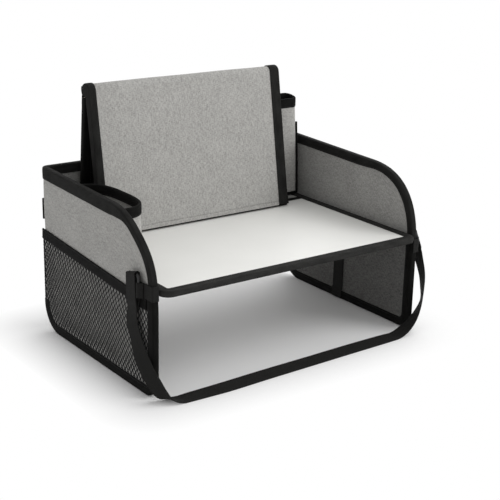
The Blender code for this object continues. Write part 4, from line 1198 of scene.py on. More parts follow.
@dataclass
class Pocket:
    """Sewn pocket that stands on the table: wall, bound rim and base."""

    seams: Seams
    name: str
    plan: Callable[[float], Outline]
    rim_height: float
    wall: float
    closed: bool
    belly: float
    tape_width: float = 12.0
    inner_tape: float = 7.5
    front_edge: float = 105.6
    edge_top: float = 236.0

    def outline(self, inset: float) -> Outline:
        """Plan of the pocket, without its last point where that is the first one again."""
        plan = self.plan(inset)
        return plan[:-1] if self.closed else plan

    def lean(self, x: float, y: float, z: float) -> Vector:
        """Pull the top of the tall pocket in from the wing and dip its mouth towards the front."""
        if not self.closed:
            return Vector((x, y, z))
        share = max(0.0, (z - DECK_TOP) / (self.rim_height - DECK_TOP))
        across = (x - POCKET_X + BOTTLE_LENGTH) / BOTTLE_LENGTH
        return Vector((x - 7.7 * share ** 1.3 * across, y, z + share * (2.6 + 0.17 * (y - 114.0))))

    def trim(self) -> None:
        """Black tape round the foot of the tall pocket and up the edge by the wing; the band up
        the edge is partly the seam's binding and partly a painted shadow gap beside the wing.
        """
        foot = Track.along([(x, y, DECK_TOP + 2.5) for x, y in self.outline(REACH - 0.55)],
                           side_left, True)
        foot.loft(band_section(4.4, 0.9), f"{self.name}_foot_binding", BINDING,
                  Body.TRAY, Slot.TAPE)
        # Black band up the edge by the wing: partly the side seam's binding, partly painted shadow
        # in the gap between pocket and wing.
        points = [self.lean(POCKET_X - 2.5, self.front_edge, z)
                  for z in np.linspace(DECK_TOP + 1, self.edge_top, 26)]
        edge = Track.along(points, lambda place, travel: Vector((0.8, 0.6, 0)))
        edge.loft(band_section(3.2, 1.8), f"{self.name}_edge_binding", BINDING,
                  Body.TRAY, Slot.TAPE, sway=0.1, seed=4.0)

    def build(self) -> None:
        """Build and dress the pocket."""
        floor, top = DECK_TOP + SEAM_GAP, self.rim_height - REACH
        outer, inner, path, seat = (self.outline(REACH + inset) for inset in (
            0.0, self.wall, self.wall / 2, self.wall + SEAM_GAP))
        steps = 18
        heights = [floor + (top - floor) * step / steps for step in range(steps + 1)]
        front, back = [], []
        for (x, y), (p, q) in zip(outer, inner):
            out = Vector((x - p, y - q, 0)).normalized()
            face, rear = [], []
            for height in heights:
                share = (height - floor) / (top - floor)
                spot = Vector((x, y, height))
                mask = math.sin(math.pi * min(1.0, share * 1.15)) if share < 0.87 else 0.0
                swell = max(0.0, mask) * self.belly * (1 + 0.6 * ripple(spot, 22.0, 4.0))
                held = self.closed and (x > POCKET_X - 6 or y > BACK_INNER_Y - 8)
                if x < -POCKET_X + 6 or held:
                    swell = 0.0
                face.append(self.lean(*spot) + out * swell)
                rear.append(self.lean(p, q, height) + out * swell)
            front.append(face)
            back.append(rear)
        shape = Shape()
        shape.slab(front, back, running(outer, self.closed), heights, self.closed)
        shape.build(f"{self.name}_cloth", GREY, Body.TRAY, Slot.CLOTH, f"{self.name}_wall")
        mouth = [self.lean(x, y, top) for x, y in path]
        track = Track.along(mouth, side_left, self.closed)
        if sum(out.z for out in track.outward) < 0:
            track = Track.along(mouth, side_right,
                                self.closed)
        section = fold_section(self.wall, self.tape_width, self.inner_tape)
        track.loft(section, f"{self.name}_binding", BINDING,
                   Body.TRAY, Slot.TAPE, f"{self.name}_rim", sway=0.1,
                   seed=6.0 if self.closed else 8.0)
        lift = self.wall / 2 + REACH - STITCH_SINK
        self.seams.sew(Body.TRAY, track.offset(STITCH_INSET - self.inner_tape, lift),
                       track.offset(STITCH_INSET - self.tape_width, -lift))
        base = Plate(seat, 1.0, lambda u, v, h: Vector((u, v, floor + h)), 8.0)
        base.build(f"{self.name}_base_cloth", DARK, Body.TRAY, Slot.CLOTH,
               f"{self.name}_base")
        if self.closed:
            self.trim()


def cup_plan(inset: float) -> Outline:
    """Plan curve (X, Y) of the cup pocket, a squarish half oval that bulges from the wing."""
    depth, half, steps = CUP_DEPTH - inset, CUP_HALF - inset, 72
    points = []
    for step in range(steps + 1):
        angle = -math.pi / 2 + math.pi * step / steps
        out = depth * max(0.0, math.cos(angle)) ** CUP_POWER
        turn = math.sin(angle)
        along = half * math.copysign(abs(turn) ** CUP_POWER, turn)
        points.append((-POCKET_X + out, CUP_MIDDLE + along))
    return points


def bottle_plan(inset: float) -> Outline:
    """Plan outline (X, Y) of the bottle pocket, a rounded rectangle that ends where it starts."""
    right, back = POCKET_X - inset, BACK_INNER_Y - REACH - SEAM_GAP - inset
    left, front = POCKET_X - BOTTLE_LENGTH + inset, back + 2 * inset - BOTTLE_DEPTH
    radius = BOTTLE_CORNER - inset
    near, far, low, high = left + radius, right - radius, front + radius, back - radius
    points = []
    for centre, start in (((far, low), 270), ((far, high), 0), ((near, high), 90),
                          ((near, low), 180)):
        points += arc(centre, radius, start, start + 90, 10)
    points.append(points[0])
    return points


@dataclass
class FoldingLeg:
    """One leg that folds in under the table, with its mesh pocket and stay strap."""

    seams: Seams
    side: Side
    mesh_pitch: float = 3.47
    mesh_row: float = 4.35
    mesh_steps: int = 4
    mesh_low: float = 11.0
    mesh_height: float = 125.0
    strand_gap: float = 0.28
    yarn: float = 0.40
    hem_width: float = 14.0
    hem_front: float = 118.0
    hem_rise: float = 18.0
    puff: float = 2.6
    stay_width: float = 20.0
    stay_y: float = 9.0

    def hem_top(self, along: float) -> float:
        """Height of the pocket's top edge."""
        return self.hem_front + self.hem_rise * (along - FRONT_Y) / (BACK_Y - FRONT_Y)

    def layers(self) -> None:
        """Cloth on both faces and a welt on the upper edge."""
        sign, name, body = self.side.value, self.side.label, self.side.leg
        outline = leg_outline(REACH, LEG_TOP)
        outer = Plate(outline, CLOTH,
                      lambda u, v, h: Vector((sign * (HALF_WIDTH - CLOTH + h), u, v)), crease=0.0)
        outer.build(f"{name}_leg_outer", GREY, body, Slot.CLOTH,
               f"{name}_leg_outer_cloth")
        inner = Plate(outline, CLOTH,
                      lambda u, v, h: Vector((sign * (WING_INNER_X + CLOTH - h), u, v)),
                      crease=0.1)
        # Inner face: dark grey cloth with painted shade from under the table.
        inner.build(f"{name}_leg_lining", SHADED_LEG_LINING, body, Slot.DARK_CLOTH,
               f"{name}_leg_inner_cloth")
        near, far = self.side.panel
        low = LEG_TOP + 0.02
        front, rear = FRONT_Y + 0.3, BACK_Y - 1.2
        strip = Plate(rectangle(near, far, front, rear), 0.26,
                      lambda u, v, h: Vector((u, v, low + h)), crease=0.0)
        strip.build(f"{name}_leg_welt", INK, body, Slot.BLACK_CLOTH)
        cap = Plate(rectangle(near, far, LEG_TOP - 1.6, LEG_TOP), 0.9,
                    lambda u, v, h: Vector((u, FRONT_Y + 1.2 - h, v)), 2.0, crease=0.0)
        cap.build(f"{name}_leg_cap", INK, body, Slot.BLACK_CLOTH)

    def hinge_cloth(self) -> None:
        """Black cloth between the hem's front end and the leg's top edge."""
        sign = self.side.value
        front = FRONT_Y + TAPE_WIDTH - 0.6
        outline = rectangle(front, front + 30.0, 104.0, LEG_TOP - 0.1)
        patch = Plate(outline, 0.25,
                      lambda u, v, h: Vector((sign * (HALF_WIDTH + 0.02 + h), u, v)), crease=0.0)
        patch.build(f"{self.side.label}_hinge_cloth", INK, self.side.leg, Slot.BLACK_CLOTH)

    def rear_cap(self) -> None:
        """Narrow black fold over the leg's rear edge, above the tape."""
        middle = self.side.value * WING_MIDDLE_X
        half = PANEL / 2
        heights = np.linspace(LEG_TAPE_END + 0.5, LEG_TOP - 1, 14)
        track = Track.along([(middle, BACK_Y - REACH, z) for z in heights], side_x)
        fold = [(-2.6, -half - 0.05), (-2.6, -half - 0.42), (-1.6, -half - 0.6),
                (0.2, -half - 0.4), (0.8, -half + 0.6)]
        section = [*fold, (0.95, 0.0), *((out, -side) for out, side in reversed(fold)),
                   (0.05, half + 0.05), (0.05, -half - 0.05)]
        track.loft(section, f"{self.side.label}_leg_rear_binding", BINDING,
                   self.side.leg, Slot.TAPE)

    def binding(self) -> None:
        """Folded tape down the front edge, along the bottom and up the rear corner."""
        top = LEG_TOP - SEAM_GAP - REACH
        path = leg_outline(REACH, top)[:-1]
        path.append((path[-1][0], LEG_TAPE_END))
        middle = self.side.value * WING_MIDDLE_X
        track = Track.along([(middle, y, z) for y, z in spaced(path, PATH_STEP)],
                            side_x)
        name = self.side.label
        track.loft(fold_section(PANEL), f"{name}_leg_binding", BINDING,
                   self.side.leg, Slot.TAPE, f"{name}_leg_tape", sway=0.15, seed=8.0)
        self.seams.sew(self.side.leg, *track.seams(PANEL))

    def hem(self) -> None:
        """Wide band along the top of the net."""
        front = wing_curve(REACH, LEG_TOP, 1)[0][0] + TAPE_WIDTH + 2 * SEAM_GAP
        rear = BACK_Y - 2.0
        across = self.side.value * (HALF_WIDTH + SEAM_GAP + 0.8)
        middle = self.hem_width / 2
        points = spaced([(across, front, self.hem_top(front) - middle),
                         (across, rear, self.hem_top(rear) - middle)], 8.0)
        track = Track.along(points, side_x)
        name = self.side.label
        track.loft(band_section(self.hem_width, 1.6), f"{name}_pocket_binding", BINDING,
                   self.side.leg, Slot.TAPE, f"{name}_pocket_hem")
        for shift in (2.0 - middle, middle - 2.0):
            self.seams.sew(self.side.leg, track.offset(shift, self.side.value * 0.8))

    def within(self, y: float, z: float) -> bool:
        """Tell whether a spot is inside the net's field, a little under the tapes round it."""
        edge = REACH + TAPE_WIDTH - 1.0
        front, rear = FRONT_Y + edge, BACK_Y - 1.5
        if z > self.hem_top(y) - self.hem_width + 1.0 or z < edge or y < front or y > rear:
            return False
        if z < LEG_TAPE_END - 1.0:
            rear = BACK_Y - edge
            reach = LEG_REAR_RADIUS - edge
            over = math.hypot(max(0.0, y - rear + reach), max(0.0, edge + reach - z))
            if y > rear or over > reach:
                return False
        reach = max(1.0, LEG_FRONT_RADIUS - edge)
        return math.hypot(max(0.0, front + reach - y), max(0.0, edge + reach - z)) <= reach

    def strand(self, column: int, shift: float) -> list[list[Vector]]:
        """Pieces of one strand, which leans on its left and right neighbours in turn."""
        lines, line = [], []
        for step in range(int(self.mesh_height / self.mesh_row) * self.mesh_steps):
            turn = step / self.mesh_steps
            swing = 1.12 - 2.24 * abs((turn + column) % 2 - 1)
            lean = (self.mesh_pitch / 2 - 0.40) * max(-1.0, min(1.0, swing))
            y = FRONT_Y + column * self.mesh_pitch + lean + shift
            z = self.mesh_low + turn * self.mesh_row
            if not self.within(y, z):
                lines.append(line)
                line = []
                continue
            high = self.hem_top(y) - self.hem_width
            belly = rise(z, 14, 55) * rise(high - z, 0, 22) * rise(y, -118, -60)
            belly *= rise(BACK_Y - y, 2, 50)
            crumple = 1 + 0.35 * ripple(Vector((0, y, z)), 30.0, 2.0)
            depth = 0.62 + self.puff * belly * crumple
            line.append(Vector((self.side.value * (HALF_WIDTH + depth), y, z)))
        return [part for part in (*lines, line) if len(part) > 1]

    def net(self) -> None:
        """Knitted net of doubled strands round diamond holes."""
        lines = []
        for column in range(int((BACK_Y - FRONT_Y) / self.mesh_pitch) + 1):
            for shift in (-self.strand_gap, self.strand_gap):
                lines += self.strand(column, shift)
        weave = yarn_weave(NET_YARN)
        piece = weave.apply(f"{self.side.label}_net", lines, {"Radius": self.yarn * MM})
        weave.remove()
        settle(piece, self.side.leg, Slot.NET, f"{self.side.label}_pocket_net")

    def stay(self) -> None:
        """Flat strap down the inner face, over the tape at the bottom."""
        flat = WING_INNER_X - SEAM_GAP - 0.7
        over = flat - REACH
        route = [(flat, LEG_TOP - 0.4), (flat, TAPE_WIDTH + 5.6), (over, TAPE_WIDTH + 2.8),
                 (over, 1.4)]
        points = [(self.side.value * x, self.stay_y, z) for x, z in spaced(route, 5.0)]
        track = Track.along(points, side_x)
        name = f"{self.side.label}_stay"
        track.loft(band_section(self.stay_width, 1.4), f"{name}_webbing", WEBBING,
                   self.side.leg, Slot.WEBBING, f"{name}_strap")

    def build(self) -> None:
        """Build and dress the leg."""
        self.layers()
        self.binding()
        self.rear_cap()
        self.hinge_cloth()
        self.hem()
        self.net()
        self.stay()


@dataclass
class TabletStand:
    """Two leaves that meet at a rolled ridge; the front one carries the tablet."""

    seams: Seams
    width: float = 295.0
    centre: float = -5.5
    ridge: tuple[float, float] = (101.5, 312.5)
    lean: float = 9.4
    leaf: float = 184.68
    roll: float = 8.0
    rear_foot: tuple[float, float] = (118.3, 132.2)
    rear_lean: float = 5.323
    rear_near: float = 1.5
    rear_far: float = 7.5
    rear_top: float = 171.281
    tape_width: float = 12.0
    front_tapes: tuple[float, float] = (10.8, 15.5)
    bare: float = 26.0

    def leaf_place(self, x: float, y: float, z: float) -> Vector:
        """Turn a place on the front leaf, measured from the ridge, into the tray's frame."""
        turn = Matrix.Rotation(math.radians(-self.lean), 3, "X")
        return turn @ Vector((x, y, z)) + Vector((self.centre, *self.ridge))

    def rear_place(self, x: float, y: float, z: float) -> Vector:
        """Turn a place on the rear leaf, measured from its foot, into the tray's frame."""
        turn = Matrix.Rotation(math.radians(self.rear_lean), 3, "X")
        return turn @ Vector((x, y, z)) + Vector((self.centre, *self.rear_foot))

    def front_cloth(self) -> None:
        """Cloth from under the foot, up the front and over the ridge, with a sewn hem."""
        half = self.width / 2 - REACH
        foot = -self.leaf
        path = [(-0.2, foot), (-self.roll + 1.4, foot)]
        path += arc((-self.roll + 1.0, foot + 1.0), 1.0, 260, 180, 4)
        path += [(-self.roll, foot + height) for height in (2, 3, 4, 4.8, 5.4, 6, 6.5, 7, 7.5, 8,
                                                             8.6, 9.4, 10.5, 12)]
        path += spaced([(-self.roll, foot + 12), (-self.roll, -1.0)], 5.0)[1:]
        path += arc((0, 0), self.roll, 180, -60, 40)
        xs = np.linspace(-half, half, 48)
        front, back = [], []
        for index, (y, z) in enumerate(path):
            run = heading(path, index)
            out = Vector((-run.y, run.x))
            above = z - foot
            dent = 0.34 * math.exp(-((above - 7.0) / 0.8) ** 2)
            face, rear = [], []
            for x in xs:
                mask = rise(half - abs(x), 6, 40) * rise(above, 9, 40)
                spot = Vector((x, y, z))
                wave = ripple(spot, 60.0, 1.0) * 0.5 + ripple(spot, 24.0, 6.0) * 0.12
                lift = mask * (0.35 + wave) - dent
                face.append(self.leaf_place(x, y + out.x * lift, z + out.y * lift))
                rear.append(self.leaf_place(x, y - out.x * CLOTH, z - out.y * CLOTH))
            front.append(face)
            back.append(rear)
        shape = Shape()
        shape.slab(front, back, running(path), [float(x) for x in xs])
        shape.build("stand_roll_cloth", GREY, Body.STAND_FRONT, Slot.CLOTH, "stand_front_cloth")
        inner = self.width / 2 - self.tape_width
        line = [self.leaf_place(x, -self.roll, foot + 7.0) for x in (-inner, inner)]
        self.seams.sew(Body.STAND_FRONT, line, pale=True)

    def foot_piping(self) -> None:
        """Thin black strip along the foot of the front leaf, a painted shadow line under the hem.
        """
        half = self.width / 2 - 2.0
        points = [self.leaf_place(float(x), -self.roll + 0.35, 0.75 - self.leaf)
                  for x in np.linspace(-half, half, 60)]
        track = Track.along(points, side_z)
        track.loft(round_section(0.8, 8), "stand_foot_piping", BINDING, Body.STAND_FRONT,
                   Slot.TAPE)

    def rail(self, offset: float) -> Outline:
        """Outline (Y, Z) round the front leaf at a distance from its faces."""
        radius = self.roll + offset
        foot = REACH - self.leaf
        corner = 2.0 if offset > 0.5 else 1.6
        points = arc((-radius + corner, foot + corner), corner, 270, 180, 4)
        points += spaced([points[-1], (-radius, -2.0)], 8.0)[1:]
        points += arc((0, 0), radius, 180, -60, 40)
        low = points[-1][1]
        points += spaced([(offset, low), (offset, foot + corner)], 8.0)
        points += arc((offset - corner, foot + corner), corner, 0, -90, 4)[1:]
        return points

    def front_binding(self, side: Side) -> None:
        """Tape over one side edge of the front leaf, a soft cap all round the leaf's section."""
        sign = side.value
        edge, width = self.width / 2, self.front_tapes[side is Side.RIGHT]
        profile = [(edge - TAPE, 0.30), (edge - width, 0.30), (edge - width, 0.85),
                   (edge - width + 0.4, 1.18), (edge - width + 1.1, 1.26),
                   (edge - width + 1.9, 1.05), (edge - width + 2.7, 1.26),
                   (edge - width * 0.5, 1.36), (edge - 1.8, 1.20), (edge - 0.7, 0.85),
                   (edge - 0.15, 0.30)]
        rails = [self.rail(offset) for _, offset in profile]
        count = len(rails[0])
        rows = []
        for index in range(count):
            flare = 1.3 * (1 - rise(rails[0][index][1] + self.leaf, 3.0, 8.0))
            rows.append([
                self.leaf_place(sign * (x + (flare if x > edge - 1 else 0.0)), *rail[index])
                for (x, _), rail in zip(profile, rails)])
        shape = Shape()
        us = running(rails[4], True)
        vs = running(profile)
        ids = shape.lattice(rows, us, vs, ring_rows=True)
        for column, rail in ((0, rails[0]), (-1, rails[-1])):
            shape.close([row[column] for row in ids], [(z, y) for y, z in rail])
        name = f"stand_front_{side.label}"
        # Stand tape in the lighter grosgrain: painted sheen.
        shape.build(f"{name}_binding", SHEEN_EDGING, Body.STAND_FRONT, Slot.TAPE, f"{name}_tape")
        seam = [self.leaf_place(sign * (edge - width + STITCH_INSET), y, z)
                for y, z in self.rail(1.12)[6:-10]]
        self.seams.sew(Body.STAND_FRONT, seam)

    def front_lining(self) -> None:
        """Lining on the back of the front leaf."""
        half = self.width / 2 - REACH - SEAM_GAP
        foot = -self.leaf + CLOTH + SEAM_GAP
        outline = rectangle(-half, half, foot, -self.roll)
        lining = Plate(outline, CLOTH, lambda u, v, h: self.leaf_place(u, -CLOTH + h, v), 9.0)
        lining.build("stand_front_back_cloth", DARK, Body.STAND_FRONT, Slot.DARK_CLOTH,
               "stand_front_lining")

    def rear_leaf(self) -> None:
        """Black rear leaf: cloth on both faces and tape on its side edges."""
        half = self.width / 2 - REACH
        outline = rectangle(-half, half, 0.0, self.rear_top)
        near, far = self.rear_near, self.rear_far
        face = Plate(outline, CLOTH, lambda u, v, h: self.rear_place(u, far - CLOTH + h, v), 9.0,
                     swell=0.15)
        face.build("stand_rear_outer", INK, Body.STAND_REAR, Slot.BLACK_CLOTH,
               "stand_rear_cloth")
        back = Plate(outline, CLOTH, lambda u, v, h: self.rear_place(u, near + CLOTH - h, v), 9.0)
        back.build("stand_rear_inner", INK, Body.STAND_REAR, Slot.BLACK_CLOTH,
               "stand_rear_lining")
        middle = (near + far) / 2
        for side in Side:
            across = side.value * half
            points = [self.rear_place(across, middle, z)
                      for _, z in spaced([(0.0, 0.0), (0.0, self.rear_top)], PATH_STEP)]
            if side is Side.LEFT:
                points = points[::-1]
            hint = self.rear_place(0, 1, 0) - self.rear_place(0, 0, 0)
            track = Track.along(points, lambda place, travel: -hint)
            if track.outward[0].x * side.value < 0:
                track = Track.along(points, lambda place, travel: hint)
            name = f"stand_rear_{side.label}"
            track.loft(fold_section(far - near, self.tape_width), f"{name}_binding", BINDING,
                       Body.STAND_REAR, Slot.TAPE, f"{name}_tape", sway=0.1, seed=3.0)
            self.seams.sew(Body.STAND_REAR, *(
                [place for place in line if place.z < self.ridge[1] - self.bare]
                for line in track.seams(far - near, self.tape_width)))

    def ridge_cloth(self) -> None:
        """Black cloth that joins the rear leaf's top to the back of the ridge."""
        top = self.rear_place(0, self.rear_far + 0.2, self.rear_top)
        low = self.rear_place(0, self.rear_far + 0.2, self.rear_top - 9.0)
        ridge = Vector((0, *self.ridge))
        near, far = top - ridge, low - ridge
        radius = self.roll + 1.75
        path = [(far.y, far.z), (near.y, near.z), *arc((0, 0), radius, -36, 24, 12)]
        path = spaced(path, 3.0)
        half = self.width / 2 - 0.6
        xs = [float(x) for x in np.linspace(-half, half, 50)]
        front, back = [], []
        for index, (y, z) in enumerate(path):
            run = heading(path, index)
            face, rear = [], []
            for x in xs:
                lift = 0.85 + 0.10 * ripple(Vector((x, y, z)), 30.0, 2.0)
                place = Vector((x + self.centre, y + ridge.y, z + ridge.z))
                rear.append(place)
                face.append(place + Vector((0, run.y, -run.x)) * lift)
            front.append(face)
            back.append(rear)
        shape = Shape()
        shape.slab(front, back, running(path), xs)
        shape.build("ridge_hinge_cloth", INK, Body.STAND_REAR, Slot.BLACK_CLOTH)

    def build(self) -> None:
        """Build and dress the stand."""
        self.front_cloth()
        self.foot_piping()
        self.ridge_cloth()
        for side in Side:
            self.front_binding(side)
        self.front_lining()
        self.rear_leaf()


@dataclass
class WaistStrap:
    """One length of webbing from loop to loop, with the loops and tabs that hold it."""

    seams: Seams
    width: float = 20.0
    thickness: float = 1.3
    loop_x: float = 206.0
    drop_height: float = 143.0
    loop_size: tuple[float, float] = (34.0, 24.0)
    bar: float = 1.5
    ring_tops: tuple[float, float] = (149.0, 132.5)
    ring_size: tuple[float, float] = (28.0, 29.0)
    ring_bar: float = 1.9
    ring_corner: float = 7.0
    droop: tuple[float, float] = (0.30, 0.12)
    tab_heights: tuple[float, float] = (128.0, 115.5)
    tab_width: float = 18.0
    reach: float = 30.0
    folds: tuple[float, float] = (42.0, 27.0)
    curls: tuple[float, float] = (1.6, 0.9)
    loop_y: tuple[float, float] = (-97.0, -112.5)
    left_drop: tuple = (
        (-1.010, -1.12, 0.595, (-0.12, 1, 0)), (-1.010, -0.82, 0.475, (-0.16, 1, -0.03)),
        (-1.012, -0.50, 0.360, (-0.32, 0.95, -0.18)), (-1.010, -0.05, 0.258, (-0.40, 0.82, -0.46)),
        (-0.999, 0.30, 0.184, (-0.38, 0.73, -0.60)), (-0.977, 0.42, 0.112, (-0.36, 0.80, -0.54)),
        (-0.948, 0.48, 0.058, (-0.26, 0.90, -0.40)), (-0.902, 0.56, 0.024, (-0.06, 0.99, -0.10)))
    lying: tuple = (
        (-0.84, 0.59, 2), (-0.70, 0.63, 6), (-0.55, 0.66, 9), (-0.25, 0.58, 9), (0.05, 0.52, 8),
        (0.35, 0.46, 8), (0.60, 0.42, 7), (0.72, 0.39, 5))
    right_drop: tuple = (
        (0.796, 0.37, 0.014, (0.02, 1, 0.04)), (0.868, 0.36, 0.056, (0.12, 0.99, 0.02)),
        (0.925, 0.36, 0.119, (0.36, 0.93, -0.04)), (0.975, 0.32, 0.200, (0.54, 0.84, -0.10)),
        (1.010, 0.27, 0.290, (0.64, 0.76, -0.14)),
        (1.026, 0.16, 0.400, (0.52, 0.85, -0.08)), (1.034, 0.03, 0.520, (0.36, 0.93, 0)),
        (1.040, -0.22, 0.630, (0.20, 0.98, 0)))

    def smooth(self, route: Sequence[Sequence[float]], steps: int) -> list[list[float]]:
        """Pass a smooth curve through a route whose first three values are a place."""
        reach = running([spot[:3] for spot in route])
        last = len(route) - 1
        slopes = []
        for index in range(last + 1):
            low, high = max(index - 1, 0), min(index + 1, last)
            span = reach[high] - reach[low]
            slopes.append([(b - a) / span for a, b in zip(route[low], route[high])])
        points = []
        for index in range(last):
            span = reach[index + 1] - reach[index]
            for step in range(steps):
                t = step / steps
                towards, leaving = t * t * (3 - 2 * t), t * (1 - t) ** 2 * span
                arriving = t * t * (t - 1) * span
                points.append([a + (b - a) * towards + out * leaving + back * arriving
                               for a, b, out, back in zip(route[index], route[index + 1],
                                                          slopes[index], slopes[index + 1])])
        points.append(list(route[-1]))
        return points

    def folded_end(self, side: Side, index: int, onward: Sequence[float]) -> list[tuple]:
        """Route of a folded strap end: up inside the ring, over its bar and down outside.

        Args:
            side: left or right.
            index: 0 for the left ring's sizes, 1 for the right ring's.
            onward: the first place of the hanging part below the fold.

        Returns:
            Places and width directions from the inner ply's end to the outer ply's.
        """
        sign, droop = side.value, self.droop[index]
        front = self.front_bar(self.loop_y[index])
        centre = front + self.ring_size[0] / 2 - self.ring_bar + 1.0
        height = self.ring_tops[index] - self.ring_bar - droop * (centre - front)
        wrap = self.ring_bar + 0.2 + self.thickness / 2
        ply = (self.thickness + SEAM_GAP) / 2
        drift, drop = onward[1] - centre, height - onward[2]
        swing = abs(onward[0]) - self.loop_x
        inner, outer = [], []
        for share, spread in zip((1.0, 0.86, 0.69), (ply, ply, wrap)):
            level = height - self.folds[index] * share
            part = ((height - level) / drop) ** self.curls[index]
            along = centre + drift * part
            tilt = -droop * (1 - share) / 0.31 if share < 0.8 else 0.0
            inner.append((sign * (self.loop_x - spread), along, level, 0, 1, tilt))
            out = spread + (swing - spread) * part
            outer.append((sign * (self.loop_x + out), along, level, 0, 1, tilt))
        over = [(sign * x, centre, z, 0, 1, -droop)
                for x, z in arc((self.loop_x, height), wrap, 180, 0, 4)]
        return inner + over + outer[::-1]

    def route(self) -> list[list[float]]:
        """Places and width directions of the strap from its left loop to its right one."""
        def hanging(shares: Sequence[Sequence[float]]) -> list[tuple]:
            """Places and width directions of the part above the floor."""
            return [(side * self.loop_x, FRONT_Y - forward * self.reach,
                     height * self.drop_height, *width) for side, forward, height, width in shares]

        low = []
        for side, forward, lift in self.lying:
            tilt = math.radians(lift)
            height = self.width / 2 * math.sin(tilt) + self.thickness / 2 * math.cos(tilt)
            low.append((side * self.loop_x, FRONT_Y - forward * self.reach, height,
                        0, math.cos(tilt), math.sin(tilt)))
        left, right = hanging(self.left_drop), hanging(self.right_drop)
        start = self.folded_end(Side.LEFT, 0, left[0])
        end = self.folded_end(Side.RIGHT, 1, right[-1])
        return self.smooth(start + left + low + right + end[::-1], 9)

    def webbing(self) -> None:
        """Carry the webbing's section along the route, never under the floor."""
        route = self.route()
        places, widths, facings = [], [], []
        for index, spot in enumerate(route):
            before, after = neighbours(route, index)
            travel = (Vector(after[:3]) - Vector(before[:3])).normalized()
            width = Vector(spot[3:])
            width = (width - travel * width.dot(travel)).normalized()
            facing = travel.cross(width)
            place = Vector(spot[:3])
            half = self.width / 2 * abs(width.z) + self.thickness * 0.55 * abs(facing.z)
            place.z = max(place.z, half)
            places.append(place)
            widths.append(width)
            facings.append(facing)
        track = Track(places, widths, facings)
        track.loft(band_section(self.width, self.thickness), "waist_webbing", WEBBING,
                   Body.TRAY, Slot.WEBBING, "waist_strap")
        for start, side in ((0, Side.LEFT), (len(places) - 1, Side.RIGHT)):
            place, width = places[start], widths[start]
            outward = Vector((side.value, 0, 0))
            for drop in (3.0, 12.0):
                middle = place + Vector((0, 0, drop)) + outward * (self.thickness * 1.5 + 0.4)
                self.seams.sew(Body.TRAY, [middle - width * 8.0, middle + width * 8.0])

    def front_bar(self, loop_y: float) -> float:
        """Y of the upright bar that the tab holds."""
        return loop_y - self.loop_size[0] / 2 + self.bar

    def ring(self, side: Side, loop_y: float, top: float, droop: float) -> None:
        """Ring of round bar that hangs a little lower at its rear end."""
        half_y, half_z = (size / 2 - self.ring_bar - self.ring_corner for size in self.ring_size)
        front = self.front_bar(loop_y)
        middle = (front + self.ring_size[0] / 2 - self.ring_bar, top - self.ring_size[1] / 2)
        points = []
        for sy, sz, start in ((1, 1, 0), (-1, 1, 90), (-1, -1, 180), (1, -1, 270)):
            for y, z in arc((sy * half_y, sz * half_z), self.ring_corner, start, start + 90, 8):
                along = middle[0] + y
                points.append((side.value * self.loop_x, along,
                               middle[1] + z - droop * (along - front)))
        track = Track.along(points, side_x, True)
        track.loft(round_section(self.ring_bar, 12), f"{side.label}_ring", RING,
                   Body.TRAY, Slot.PLASTIC, f"{side.label}_strap_loop")

    def tab(self, side: Side, loop_y: float, height: float) -> None:
        """Short webbing that holds the ring, sewn round the front of the wing."""
        thick = 1.2
        face = FRONT_Y - SEAM_GAP - thick / 2
        outside = HALF_WIDTH + REACH + SEAM_GAP + thick / 2
        bar = (self.loop_x, self.front_bar(loop_y))
        wrap = self.ring_bar + 0.1 + thick / 2
        path = [(WING_INNER_X, face)]
        if bar[1] - wrap > face + thick:
            path += arc((outside - thick, face + thick), thick, 270, 360, 6)
            path.append((outside, bar[1] - 2 * wrap))
            path += arc(bar, wrap, 180, -60, 16)
            path.append((outside + thick + SEAM_GAP, bar[1] - 2 * wrap))
        else:
            path.append((HALF_WIDTH, face))
            path += arc(bar, wrap, 110, -90, 16)
            path.append((WING_MIDDLE_X, bar[1] - wrap))
        points = [(side.value * x, y, height) for x, y in spaced(path, 2.5)]
        track = Track.along(points, side_right)
        track.loft(band_section(self.tab_width, thick), f"{side.label}_tab_webbing", WEBBING,
                   Body.TRAY, Slot.WEBBING, f"{side.label}_strap_tab")

    def build(self) -> None:
        """Build and dress the strap."""
        self.webbing()
        for index, side in enumerate((Side.LEFT, Side.RIGHT)):
            loop_y = self.loop_y[index]
            self.ring(side, loop_y, self.ring_tops[index], self.droop[index])
            self.tab(side, loop_y, self.tab_heights[index])


